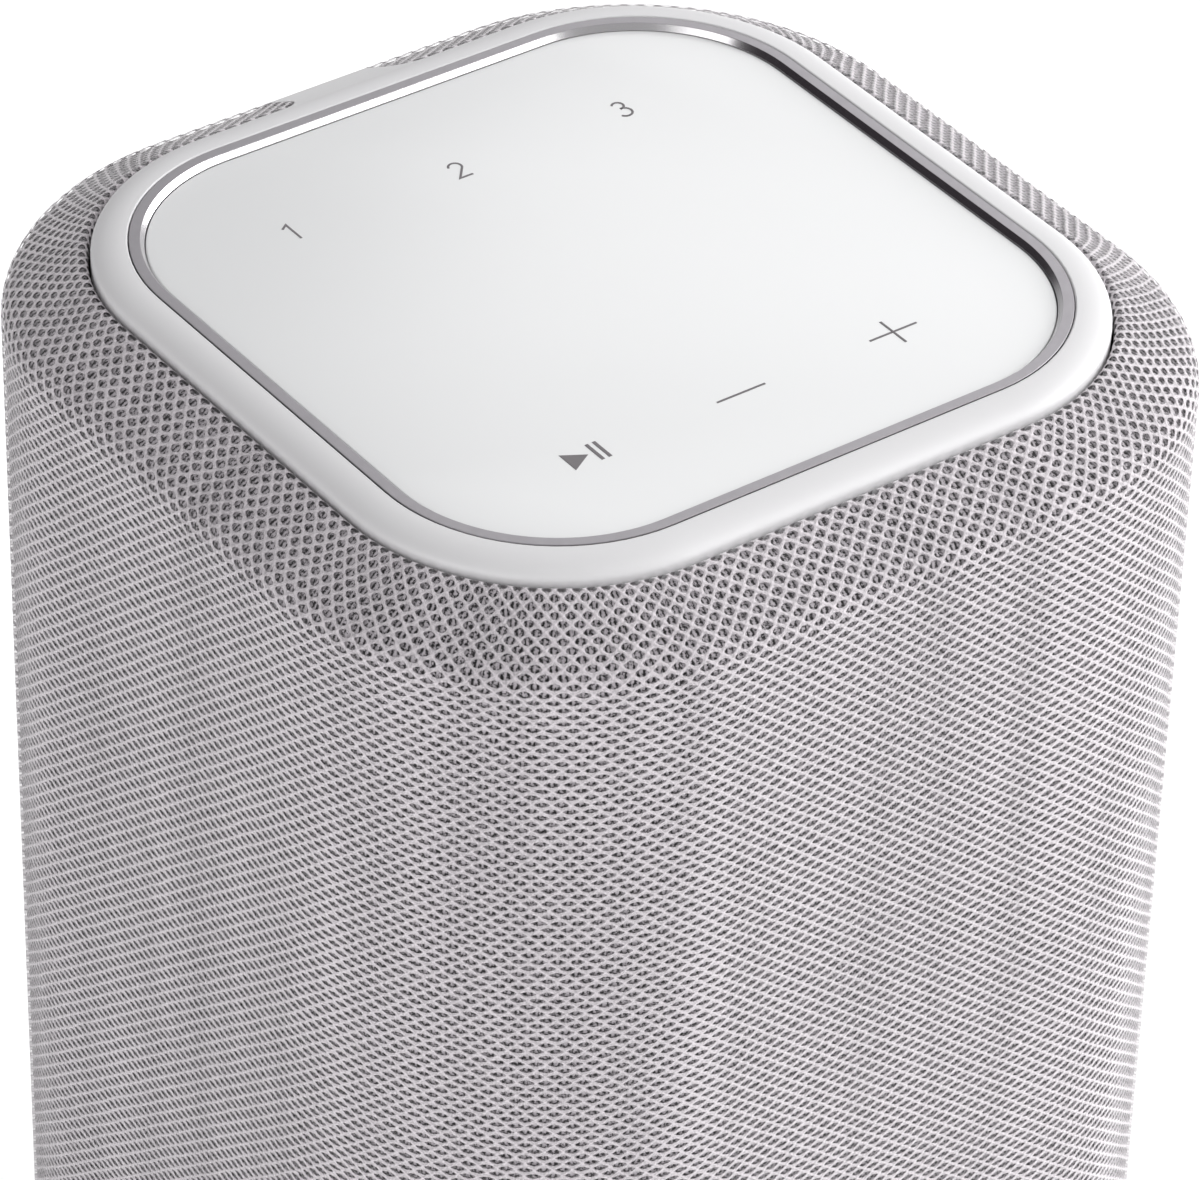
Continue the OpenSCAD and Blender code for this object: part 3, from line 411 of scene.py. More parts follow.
@dataclass(frozen=True)
class Winding(Finish):
    """Enamelled wire laid turn beside turn."""

    wire: float = 0.25 * MM

    def paint(self, graph: Graph) -> dict[str, Any]:
        """Round turns, with painted shade that darkens the groove between them."""
        turn = (graph.axes().also("Y") / self.wire).fract() - 0.5
        height = 1 - turn * turn * 4
        return {
            # painted shade: the colour falls to a quarter towards the groove between turns
            "Base Color": graph.shades(height.step(0.0, 0.6), self.colour, 0.25, 1.0),
            "Roughness": graph.noise(self.wire * 6) * 0.2 + self.roughness,
            "Normal": graph.bump(height, self.wire / 2),
        }


@dataclass(frozen=True)
class Board(Finish):
    """Solder mask over copper tracks."""

    track: float = 0.6 * MM
    foil: float = 0.03 * MM
    solder: Colour = tone(205, 200, 190)

    def paint(self, graph: Graph) -> dict[str, Any]:
        """Tracks that show through the mask, and small bright pads."""
        place = graph.place()
        lines = graph.node("ShaderNodeTexVoronoi", {"distance": "MANHATTAN"},
                           {"Vector": place, "Scale": 1 / (self.track * 7), "Randomness": 0.6})
        track = ((lines * 9).fract() - 0.5).step(-0.1, 0.1)
        pads = graph.node("ShaderNodeTexVoronoi", None,
                          {"Vector": place, "Scale": 1 / (self.track * 4)})
        pad = 1 - pads.step(0.10, 0.14)
        soft = graph.softened(self.grain.edge * MM)
        return {
            "Base Color": graph.mix(pad, graph.shades(track, self.colour, 0.8, 1.7), self.solder),
            "Roughness": self.roughness - pad * 0.1,
            "Metallic": pad,
            "Normal": graph.bump(track * 0.5 + pad * 0.5, self.foil, soft),
        }


@dataclass(frozen=True)
class Wool(Finish):
    """Loose tangled fibre."""

    tuft: float = 3.5 * MM

    def paint(self, graph: Graph) -> dict[str, Any]:
        """Tufts and hollows."""
        tuft = graph.noise(self.tuft, 5.0, rough=0.75)
        return {
            "Base Color": graph.shades(tuft, self.colour, 0.55, 1.1),
            "Roughness": tuft * 0.1 + 0.85,
            "Normal": graph.bump(tuft, self.tuft * 5 / 7),
        }


@dataclass(frozen=True)
class Leads(Finish):
    """Insulated wire, one red and one black, told apart by the side that they lie on."""

    other: Colour = tone(28, 28, 30)
    middle: float = 22 * MM
    blend: float = 0.1 * MM

    def paint(self, graph: Graph) -> dict[str, Any]:
        """Red on the far side of each pair and black on the near one."""
        rub = graph.noise(2 * MM)
        which = graph.axes().step(self.middle - self.blend, self.middle + self.blend)
        return {
            "Base Color": graph.mix(which, self.other, self.colour),
            "Roughness": rub * 0.2 + 0.3,
            "Normal": graph.bump(rub, 0.03 * MM),
        }


YARN = tone(209, 203, 207)
FABRIC = Knit("knit_fabric", YARN, 0.8, sheen=0.7)
TRIM = Finish("trim_plastic", tone(229, 228, 230), 0.44, coat=0.04, gloss=0.2,
              grain=Grain(0.22, 0.003, 0.015, 0.04, edge=0.2))
PORTS = Finish("port_plastic", tone(212, 211, 213), 0.48, grain=Grain(0.28, 0.010, 0.03, 0.06, edge=0.25))
KEYS = Finish("button_plastic", tone(205, 204, 206), 0.36, grain=Grain(0.2, 0.004, 0.02, 0.05, edge=0.25))
GLASS = Finish("panel_gloss", tone(245, 247, 248), 0.28, coat=1.0, gloss=0.24, coat_ior=1.8,
               grain=Grain(9, 0.0015, 0.004, 0.015))
PRINT = Finish("panel_print", tone(116, 112, 115), 0.42, grain=Grain(0.12, 0.002, 0.06))
SATIN = Finish("bezel_metal", tone(166, 163, 167), 0.40, 1.0,
               grain=Grain(0.10, 0.0020, 0.04, 0.06, edge=0.03))
POLISHED = Finish("bezel_polish", tone(218, 216, 218), 0.20, 1.0,
                  grain=Grain(0.4, 0.0001, 0.02, 0.02, edge=0.03))
BASE = Finish("base_plastic", tone(96, 95, 98), 0.58, grain=Grain(0.35, 0.018, 0.05, 0.08, edge=0.3))
SOCKET = Finish("socket_black", tone(22, 22, 24), 0.42, grain=Grain(0.3, 0.008))
RUBBER = Finish("rubber_black", tone(34, 34, 35), 0.82, grain=Grain(0.5, 0.03, 0.10, 0.06, edge=0.3))
SCREW = Finish("screw_steel", tone(92, 92, 96), 0.34, 1.0, grain=Grain(0.15, 0.004))
BRASS = Finish("brass_bright", tone(214, 178, 104), 0.26, 1.0, grain=Grain(0.2, 0.004, 0.06))
TINNED = Finish("tinned_steel", tone(205, 205, 208), 0.24, 1.0, grain=Grain(0.6, 0.003, 0.05))
CLEAR = Finish("light_clear", tone(232, 240, 240), 0.38, coat=0.5, grain=Grain(0.4, 0.005, 0.02))
GOLD = Finish("contact_gold", tone(226, 184, 96), 0.2, 1.0, grain=Grain(0.2, 0.002))


# Meshes


@dataclass
class Shape:
    """Corners and faces that are being gathered into one piece."""

    points: list[Sequence[float]] = field(default_factory=list)
    faces: list[Sequence[int]] = field(default_factory=list)
    slots: list[int] = field(default_factory=list)

    def add(self, points: Sequence[Sequence[float]], faces: Sequence[Sequence[int]],
            slots: Sequence[int] = ()) -> None:
        """Adds corners and the faces between them.

        Args:
            points: the new corners.
            faces: numbers of corners, counted from the first new one.
            slots: each face's material slot, if it isn't the first one.
        """
        first = len(self.points)
        self.points += points
        self.faces += [[first + corner for corner in face] for face in faces]
        self.slots += slots or [0] * len(faces)

    def prism(self, outline: Sequence[Point2], low: float, high: float) -> None:
        """Adds a prism.

        Args:
            outline: its outline in x and y, counter-clockwise.
            low: its lower height.
            high: its upper height.
        """
        count = len(outline)
        points = [(x, y, z) for z in (low, high) for x, y in outline]
        sides = [(i, (i + 1) % count, count + (i + 1) % count, count + i) for i in range(count)]
        self.add(points, [*sides, range(count)[::-1], range(count, 2 * count)])

    def made(self, name: str, finishes: Sequence[Finish], crease: float = 35.0) -> Piece:
        """The piece as an object in the scene.

        Args:
            name: the piece's name.
            finishes: the finish of each material slot.
            crease: edges sharper than this, in degrees, stay sharp.

        Returns:
            The object, at the origin.
        """
        mesh = bpy.data.meshes.new(name)
        mesh.from_pydata([tuple(map(float, p)) for p in self.points], [], self.faces)
        for finish in finishes:
            mesh.materials.append(finish.material())
        mesh.polygons.foreach_set("material_index", self.slots)
        return place_mesh(name, mesh, crease)


def linked(name: str, data: bpy.types.ID) -> Piece:
    """A new object in the scene."""
    made = bpy.data.objects.new(name, data)
    bpy.context.scene.collection.objects.link(made)
    return made


def place_mesh(name: str, mesh: bpy.types.Mesh, crease: float = 35.0) -> Piece:
    """Puts a mesh in the scene, smooth but for its sharp edges.

    Args:
        name: the piece's name.
        mesh: its mesh.
        crease: edges sharper than this, in degrees, stay sharp.

    Returns:
        The piece.
    """
    mesh.validate()
    mesh.shade_smooth()
    mesh.set_sharp_from_angle(angle=radians(crease))
    return linked(name, mesh)


@dataclass(frozen=True)
class Outline:
    """A square with round corners whose arcs all have the same centres."""

    core: float
    per_arc: int = 28
    per_side: int = 12

    def at(self, half: float, along: float, wall: float) -> Point2:
        """A point on the outline.

        Args:
            half: half the outline's width there.
            along: length round the wall from the middle of the back, towards +x.
            wall: the wall's half width, which sets the length of an arc.

        Returns:
            x and y.
        """
        quarter = 2 * self.core + pi / 2 * (wall - self.core)
        turn, rest = divmod(along + self.core, quarter)
        if rest <= 2 * self.core:
            x, y = rest - self.core, half
        else:
            angle = (rest - 2 * self.core) / (wall - self.core)
            x = self.core + (half - self.core) * sin(angle)
            y = self.core + (half - self.core) * cos(angle)
        for _ in range(int(turn) % 4):
            x, y = y, -x
        return x, y

    def ring(self, half: float) -> list[Point2]:
        """The whole outline, with its arcs and sides cut evenly.

        Args:
            half: half its width.

        Returns:
            Its points, counter-clockwise.
        """
        found = []
        corner = arc((self.core, self.core), half - self.core, 0, 90, self.per_arc)
        side = [(x, half) for x in np.linspace(self.core, -self.core, self.per_side + 1)[1:-1]]
        for turn in range(4):
            across, up = cos(turn * pi / 2), sin(turn * pi / 2)
            found += [(x * across - y * up, x * up + y * across) for x, y in corner + side]
        return found

    def swept(self, shape: Shape, section: Sequence[Point2], slots: Sequence[int] = (),
              closed: bool = True) -> None:
        """Sweeps a section round the outline.

        Args:
            shape: what the faces are added to.
            section: half width and height of each point, counter-clockwise with half width to the right.
            slots: the material slot of the stretch after each point.
            closed: whether the last point joins the first; if not, the ends are capped.
        """
        points = [(x, y, z) for half, z in section for x, y in self.ring(half)]
        count = len(points) // len(section)
        faces: list[Sequence[int]] = []
        for k in range(len(section) - (not closed)):
            low, high = k * count, (k + 1) % len(section) * count
            turns = [(i, (i + 1) % count) for i in range(count)]
            faces += [(low + i, low + j, high + j, high + i) for i, j in turns]
        if not closed:
            faces += [range(count)[::-1], range(len(points) - count, len(points))]
        shape.add(points, faces, [slot for slot in slots for _ in range(count)])


def rounded(points: Sequence[Point2], radii: Sequence[float], steps: int = 4) -> list[Point2]:
    """A polygon whose corners are rounded.

    Args:
        points: its corners.
        radii: the radius at each corner.
        steps: how many edges each round takes.

    Returns:
        The rounded polygon.
    """
    found: list[Point2] = []
    count = len(points)
    for k, radius in enumerate(radii):
        before, here, after = (Vector(points[(k + d) % count]) for d in (-1, 0, 1))
        if radius <= 0:
            found.append(tuple(here))
            continue
        back, on = (before - here).normalized(), (after - here).normalized()
        half = back.angle(on) / 2
        cut = radius / tan(half)
        middle = here + (back + on).normalized() * (radius / sin(half))
        start, end = here + back * cut - middle, here + on * cut - middle
        sweep = start.angle_signed(end)
        found += [
            tuple(middle + Matrix.Rotation(-sweep * i / steps, 2) @ start) for i in range(steps + 1)
        ]
    return found


def held(points: Sequence[Point2], gap: float) -> list[Point2]:
    """A polygon with a point added near each end of its long sides, so that they shade flat.

    Args:
        points: its corners.
        gap: from a corner to the new point.

    Returns:
        The polygon.
    """
    found: list[Point2] = []
    for here, after in zip(points, [*points[1:], points[0]]):
        found.append(here)
        start, end = Vector(here), Vector(after)
        if (end - start).length > 4 * gap:
            way = (end - start).normalized() * gap
            found += [tuple(start + way), tuple(end - way)]
    return found


def ribbon(points: Sequence[Point2], width: float, closed: bool = False) -> list[list[Point2]]:
    """A line of one width, mitred at its bends.

    Args:
        points: what it passes through.
        width: its width.
        closed: whether it goes back to its first point.

    Returns:
        The quads that it is made of.
    """
    count = len(points)
    sides: list[tuple[Vector, Vector]] = []
    for k in range(count):
        here = Vector(points[k])
        before = Vector(points[k - 1]) if k or closed else None
        after = Vector(points[(k + 1) % count]) if k < count - 1 or closed else None
        ways = [(b - a).normalized() for a, b in ((before, here), (here, after)) if a and b]
        way = sum(ways, Vector((0, 0))).normalized()
        across = Vector((-way.y, way.x)) * (width / 2 / max(way.dot(ways[0]), 0.4))
        sides.append((here - across, here + across))
    pairs = zip(sides, sides[1:] + sides[:1] * closed)
    return [[tuple(p) for p in (low, low_on, high_on, high)] for (low, high), (low_on, high_on) in pairs]


def arc(centre: Point2, radius: float, start: float, end: float, steps: int = 12) -> list[Point2]:
    """Points on an arc.

    Args:
        centre: its centre.
        radius: its radius.
        start: its first angle, in degrees.
        end: its last angle.
        steps: how many edges it takes.

    Returns:
        The points.
    """
    return [
        (centre[0] + radius * cos(t), centre[1] + radius * sin(t))
        for t in np.radians(np.linspace(start, end, steps + 1))
    ]


def settle(piece: Piece, body: str = HOUSING, node: str = "") -> None:
    """Rides a finished piece on its body and reports it.

    Args:
        piece: the piece.
        body: its body.
        node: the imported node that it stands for, if it does.
    """
    if node:
        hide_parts(node)
    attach(piece, body)
    LOG.info("%s: %d faces on %s", piece.name, len(piece.data.polygons), body)


def refit(node: str, finish: Finish, name: str, body: str = HOUSING) -> None:
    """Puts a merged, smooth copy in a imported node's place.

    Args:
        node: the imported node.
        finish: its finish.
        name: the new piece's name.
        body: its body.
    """
    mesh = bpy.data.objects[node].data.copy()
    work = bmesh.new()
    work.from_mesh(mesh)
    bmesh.ops.remove_doubles(work, verts=work.verts, dist=WELD)
    work.to_mesh(mesh)
    work.free()
    for attribute in ("custom_normal", "sharp_face", "sharp_edge"):
        if attribute in mesh.attributes:
            mesh.attributes.remove(mesh.attributes[attribute])
    mesh.materials.clear()
    mesh.materials.append(finish.material())
    mesh.polygons.foreach_set("material_index", [0] * len(mesh.polygons))
    settle(place_mesh(name, mesh, 28), body, node)


class Repeats:
    """A piece of many like parts, placed by geometry nodes."""

    def __init__(self, name: str, finish: Finish) -> None:
        """Starts an empty tree with one output."""
        self.name = name
        self.finish = finish
        self.tree = bpy.data.node_groups.new(name, "GeometryNodeTree")
        self.graph = Graph(self.tree)
        self.values: dict[str, Any] = {}
        self.tree.interface.new_socket("Geometry", in_out="OUTPUT", socket_type="NodeSocketGeometry")
        self.source = self.tree.nodes.new("NodeGroupInput")

    def size(self, name: str, kind: str, value: Any) -> Wire:
        """A named input of the tree and the value that it gets.

        Args:
            name: what the input is called.
            kind: Int, Float or Vector.
            value: its value.

        Returns:
            The input's wire.
        """
        made = self.tree.interface.new_socket(name, in_out="INPUT", socket_type=f"NodeSocket{kind}")
        self.values[made.identifier] = value
        return Wire(self.graph, self.source.outputs[name])

    def along(self, part: Wire, count: int, start: Sequence[float], step: Sequence[float]) -> Piece:
        """Puts a part at each point of a straight row.

        Args:
            part: the part.
            count: how many there are.
            start: where the first one stands.
            step: from one to the next.

        Returns:
            The piece, as a plain mesh.
        """
        line = self.graph.node("GeometryNodeMeshLine", {"mode": "OFFSET"}, {
            "Count": self.size("Count", "Int", count),
            "Start Location": self.size("Start", "Vector", start),
            "Offset": self.size("Step", "Vector", step),
        })
        placed = self.graph.node("GeometryNodeInstanceOnPoints", None, {"Points": line, "Instance": part})
        solid = self.graph.node("GeometryNodeRealizeInstances", None, {0: placed})
        shown = self.graph.node("GeometryNodeSetMaterial", None,
                                {"Geometry": solid, "Material": self.finish.material()})
        self.graph.sink("NodeGroupOutput", shown)
        holder = linked(self.name, bpy.data.meshes.new(self.name))
        modifier = holder.modifiers.new("repeats", "NODES")
        modifier.node_group = self.tree
        for identifier, value in self.values.items():
            modifier[identifier] = value
        bpy.context.view_layer.update()
        shaped = holder.evaluated_get(bpy.context.evaluated_depsgraph_get())
        mesh = bpy.data.meshes.new_from_object(shaped)
        holder.modifiers.clear()
        bpy.data.objects.remove(holder)
        mesh.name = self.name
        return place_mesh(self.name, mesh)


# Sub-assemblies


@dataclass
class Body:
    """The driving sizes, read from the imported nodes."""

    half: float
    hem: float
    ring_out: float
    top: float
    ring_in: float
    panel_half: float
    panel_top: float
    core: float = 22.8 * MM

    @classmethod
    def read(cls) -> Body:
        """The sizes in the boxes of the nodes."""
        sleeve, trim, bezel, panel = (
            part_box(node) for node in ("fabric_sleeve", "top_trim", "bezel", "touch_panel")
        )
        return cls(sleeve[1].x, sleeve[0].z, trim[1].x, trim[1].z, bezel[1].x, panel[1].x, panel[1].z)


@dataclass
class Sleeve:
    """The knitted sleeve, from its hem under the body to its fold beside the trim ring."""

    body: Body
    slope: float = radians(30)
    crease_r: float = 4.5 * MM
    thickness: float = 0.34 * MM
    fold_r: float = 0.75 * MM
    hem_r: float = 0.9 * MM
    hem_turn: float = 2.8 * MM
    groove: float = 0.3 * MM
    leg: float = 2.4 * MM
    edge_out: float = 0.1 * MM
    edge_drop: float = 1.3 * MM
    hole_pitch: float = 2.15 * MM
    row_pitch: float = 0.925 * MM
    shoulder_pitch: float = 1.04 * MM
    wall_step: float = 5.0 * MM
    spine_half: float = 7.2 * MM
    flare_r: float = 3.8 * MM
    flare_gap: float = 0.2 * MM
    bay_half: float = 17.2 * MM
    bay_r: float = 6.2 * MM
    bay_top: float = 132.2 * MM
    fillet_r: float = 4.8 * MM
    stretch: float = 1.06
    per_arc: int = 28
    per_side: int = 12

    def section(self) -> list[SkinPoint]:
        """The outer skin's section, from the hem up and over.

        Returns:
            Half width, height, the normal's two parts and the lift of each point.
        """
        body = self.body
        rise, run = sin(self.slope), cos(self.slope)
        line = rise * (body.ring_out + self.edge_out) + run * (body.top - self.edge_drop)
        crease_a = body.half - self.crease_r
        crease_z = (line - self.crease_r - rise * crease_a) / run
        fold_a = body.ring_out + self.groove + self.fold_r
        fold_z = (line - self.fold_r - rise * fold_a) / run
        steep = pi / 2 - self.slope
        found = [
            (body.half - self.hem_r - s, body.hem, 0.0, -1.0, 0.0)
            for s in np.linspace(self.hem_turn - self.hem_r, 0, 3)[:-1]
        ]
        found += self.bend(body.half - self.hem_r, body.hem + self.hem_r, self.hem_r,
                           -pi / 2, 0, 5, 0.0, 0.0)
        found += [(body.half, z, 1.0, 0.0, 0.0) for z in self.wall_heights(crease_z)]
        found += self.bend(crease_a, crease_z, self.crease_r, 0, steep, 10, 0.0, 1.0)
        low = np.array(found[-1][:2])
        high = np.array((fold_a + self.fold_r * rise, fold_z + self.fold_r * run))
        found += [(*(low + (high - low) * s), rise, run, 1.0) for s in np.linspace(0, 1, 6)[1:-1]]
        found += self.bend(fold_a, fold_z, self.fold_r, steep, pi, 9, 1.0, 1.0)
        found += [(fold_a - self.fold_r, fold_z - s, -1.0, 0.0, 1.0) for s in (self.leg / 2, self.leg)]
        return found

    @staticmethod
    def bend(a: float, z: float, radius: float, start: float, end: float, steps: int,
             lift_start: float, lift_end: float) -> list[SkinPoint]:
        """Points of the section round an arc.

        Args:
            a: how far out its centre is.
            z: how high its centre is.
            radius: its radius.
            start: its first angle, in radians.
            end: its last angle.
            steps: how many edges it takes.
            lift_start: the lift at its first point.
            lift_end: the lift at its last point.

        Returns:
            The points.
        """
        return [
            (a + radius * cos(t), z + radius * sin(t), cos(t), sin(t),
             lift_start + (lift_end - lift_start) * share)
            for share in np.linspace(0, 1, steps + 1)
            for t in (start + (end - start) * share,)
        ]

    def wall_heights(self, top: float) -> list[float]:
        """Heights of the wall's rows, close together where the bay's outline turns.

        Args:
            top: where the wall ends.

        Returns:
            The heights, from the hem up.
        """
        arcs = np.radians(np.linspace(0, 90, 10))
        corner = self.bay_top - self.bay_r * (1 - np.sin(arcs))
        fillet = self.bay_top + self.fillet_r * (1 - np.cos(arcs[1:]))
        count = int((self.bay_top - self.bay_r - self.body.hem) / self.wall_step)
        low = np.linspace(self.body.hem + self.hem_r, corner[0], count)[1:-1]
        high = np.linspace(fillet[-1], top, 9)[1:-1]
        return [float(z) for z in (*low, *corner, *fillet, *high)]

    def opening(self, a: float, z: float) -> float:
        """Half the width of the slot at the back.

        Args:
            a: the distance from the middle.
            z: the height.

        Returns:
            The half width there.
        """
        flare_y = self.body.ring_out + self.flare_gap + self.flare_r
        if a < flare_y and z > self.bay_top + self.fillet_r:
            reach = min(flare_y - a, self.flare_r)
            return self.spine_half + self.flare_r - sqrt(self.flare_r**2 - reach**2)
        if z >= self.bay_top + self.fillet_r:
            return self.spine_half
        corner_z = self.bay_top - self.bay_r
        if z > self.bay_top - ROUNDING:
            reach = self.bay_top + self.fillet_r - z
            return self.spine_half + self.fillet_r - sqrt(max(self.fillet_r**2 - reach**2, 0))
        if z > corner_z:
            round_part = sqrt(max(self.bay_r**2 - (z - corner_z) ** 2, 0))
            return max(self.bay_half - self.bay_r + round_part, self.spine_half + self.fillet_r)
        return self.bay_half

    def columns(self) -> np.ndarray:
        """The columns between the two ends of the back's flat.

        Returns:
            Their lengths round the wall.
        """
        body = self.body
        turn = pi / 2 * (body.half - body.core)
        marks, at = [body.core], body.core
        for k in range(7):
            length, steps = (2 * body.core, self.per_side) if k % 2 else (turn, self.per_arc)
            marks += list(at + length * np.arange(1, steps + 1) / steps)
            at += length
        return np.array(marks)

    def build(self) -> None:
        """Makes the two skins and the edge between them, with knit coordinates."""
        body, section = self.body, self.section()
        plan, marks = Outline(body.core), self.columns()
        around = 8 * body.core + 2 * pi * (body.half - body.core)
        run, rows, before = 0.0, [], section[0]
        for here in section:
            pitch = self.row_pitch + (self.shoulder_pitch - self.row_pitch) * here[4]
            run += dist(here[:2], before[:2]) / (2 * pitch)
            near = np.linspace(self.opening(*here[:2]), body.core, 7)[:-1]
            rows.append((np.concatenate([near, marks, (around - near)[::-1]]), run))
            before = here
        across, high = len(rows[0][0]), len(section)
        half = high * across
        points, knit, lifts = [], [], []
        for depth in (0.0, self.thickness):
            for (a, z, out, up, lift), (lengths, v) in zip(section, rows):
                points += [(*plan.at(a - out * depth, u, body.half), z - up * depth) for u in lengths]
                knit += [(u / self.hole_pitch, v) for u in lengths]
                lifts += [lift] * across
        faces: list[Sequence[int]] = []
        for q in (i * across + j for i in range(high - 1) for j in range(across - 1)):
            faces.append((q, q + across, q + across + 1, q + 1))
            faces.append((half + q, half + q + 1, half + q + across + 1, half + q + across))
        border = list(range(across))
        border += [i * across + across - 1 for i in range(1, high)]
        border += [(high - 1) * across + j for j in range(across - 2, -1, -1)]
        border += [i * across for i in range(high - 2, 0, -1)]
        faces += [(p, q, half + q, half + p) for p, q in zip(border, border[1:] + border[:1])]
        piece = Shape(points, faces, [0] * len(faces)).made("knitted_sleeve", [FABRIC], 60)
        mesh = piece.data
        layer = mesh.uv_layers.new(name="knit")
        corners = np.zeros(len(mesh.loops), np.int32)
        mesh.loops.foreach_get("vertex_index", corners)
        layer.data.foreach_set("uv", np.array(knit, np.float32)[corners].ravel())
        for name, values in (("lift", lifts), ("inner", np.repeat((0, 1), half))):
            made = mesh.attributes.new(name, "FLOAT", "POINT")
            made.data.foreach_set("value", np.array(values, np.float32))
        settle(piece, node="fabric_sleeve")


@dataclass
class TopDeck:
    """The trim moulding, the bezel, the touch panel and its printed legends."""

    body: Body
    bezel_flat: float = 1.33 * MM
    bezel_facet: float = 0.5 * MM
    bezel_edge_r: float = 0.06 * MM
    panel_edge_r: float = 0.22 * MM
    panel_cut: float = 0.1 * MM
    print_t: float = 0.02 * MM
    print_lift: float = 0.0004 * MM
    line: float = 0.29 * MM
    numeral_h: float = 3.3 * MM
    numeral_pitch: float = 23.6 * MM
    numeral_y: float = 26.35 * MM
    group_x: float = -1.2 * MM
    control_y: float = -28.6 * MM
    play_x: float = -25.0 * MM
    play_w: float = 1.7
    pause_bars: Point2 = (2.25, 2.85)
    pause_line: float = 0.435 * MM
    minus_x: float = -1.13 * MM
    plus_x: float = 20.38 * MM
    sign_w: float = 6.7 * MM
    plus_h: float = 4.8 * MM

    def build(self) -> None:
        """Makes the top's pieces."""
        refit("top_trim", TRIM, "trim_moulding")
        self.bezel()
        self.panel()
        self.legends()

    def bezel(self) -> None:
        """A satin flat with a polished facet that falls to the panel."""
        low, high = (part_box("bezel")[k].z for k in (0, 1))
        out = self.body.ring_in
        edge = out - self.bezel_flat
        inside = edge - self.bezel_facet
        corners = [(inside, low), (out, low), (out, high), (edge, high),
                   (inside, self.body.panel_top)]
        radii = [0.0, 0.0, self.bezel_edge_r, self.bezel_edge_r / 2, 0.0]
        section = held(rounded(corners, radii, 3), self.bezel_edge_r)
        slots = [int(a0 < edge + TINY and z1 < high - TINY and min(z0, z1) > low + TINY)
                 for (a0, z0), (_, z1) in zip(section, section[1:] + section[:1])]
        shape = Shape()
        Outline(self.body.core, FINE_ARC).swept(shape, section, slots)
        settle(shape.made("bezel_ring", [SATIN, POLISHED], 25), node="bezel")

    def panel(self) -> None:
        """A flat glossy plate with a fine round edge."""
        low, high = (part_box("touch_panel")[k].z for k in (0, 1))
        out, r = self.body.panel_half, self.panel_edge_r
        section = [(out - self.panel_cut, low), (out, low + self.panel_cut)]
        section += arc((out - r, high - r), r, 0, 90, 6)
        shape = Shape()
        Outline(self.body.core, FINE_ARC).swept(shape, section, closed=False)
        settle(shape.made("touch_glass", [GLASS]), node="touch_panel")

    def legends(self) -> None:
        """Prints the numerals, play and pause, and the volume signs on the panel."""
        tall, w, h, y = self.numeral_h / 2, self.sign_w / 2, self.plus_h / 2, self.control_y
        two = arc((-0.02, 0.46), 0.50, 168, -32) + [(-0.54, -0.94), (0.56, -0.94)]
        three = arc((-0.02, 0.52), 0.44, 150, -88, 10) + arc((-0.04, -0.42), 0.54, 86, -152)
        lines: list[list[Point2]] = []
        for k, numeral in enumerate(([(-0.30, 0.62), (0.22, 1), (0.22, -1)], two, three)):
            x = self.group_x + (k - 1) * self.numeral_pitch
            strokes = [(x + px * tall, self.numeral_y + py * tall) for px, py in numeral]
            lines += ribbon(strokes, self.line)
        lines += ribbon([(self.minus_x - w, y), (self.minus_x + w, y)], self.line)
        lines += ribbon([(self.plus_x - w, y), (self.plus_x + w, y)], self.line)
        lines += ribbon([(self.plus_x, y - h), (self.plus_x, y + h)], self.line)
        lines.append([(self.play_x, y - tall), (self.play_x + self.play_w * tall, y),
                      (self.play_x, y + tall)])
        for bar in self.pause_bars:
            x = self.play_x + bar * tall
            lines += ribbon([(x, y - tall), (x, y + tall)], self.pause_line)
        shape, base = Shape(), self.body.panel_top
        for k, outline in enumerate(lines):
            shape.prism(outline, base - SUNK, base + self.print_t + k * self.print_lift)
        settle(shape.made("panel_legends", [PRINT], 20))


@dataclass(frozen=True)
class Contacts:
    """Gilt contacts in a row along x, placed from the middle of their socket's mouth."""

    name: str
    node: str
    count: int
    left: float
    pitch: float
    depth: float
    rise: float
    size: Size3

    def build(self) -> None:
        """Makes the row."""
        low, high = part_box(self.node)
        row = Repeats(self.name, GOLD)
        bar = row.graph.node("GeometryNodeMeshCube", None, {"Size": row.size("Size", "Vector", self.size)})
        start = (self.left, high.y - self.depth, (low.z + high.z) / 2 + self.rise)
        settle(row.along(bar, self.count, start, (self.pitch, 0, 0)))


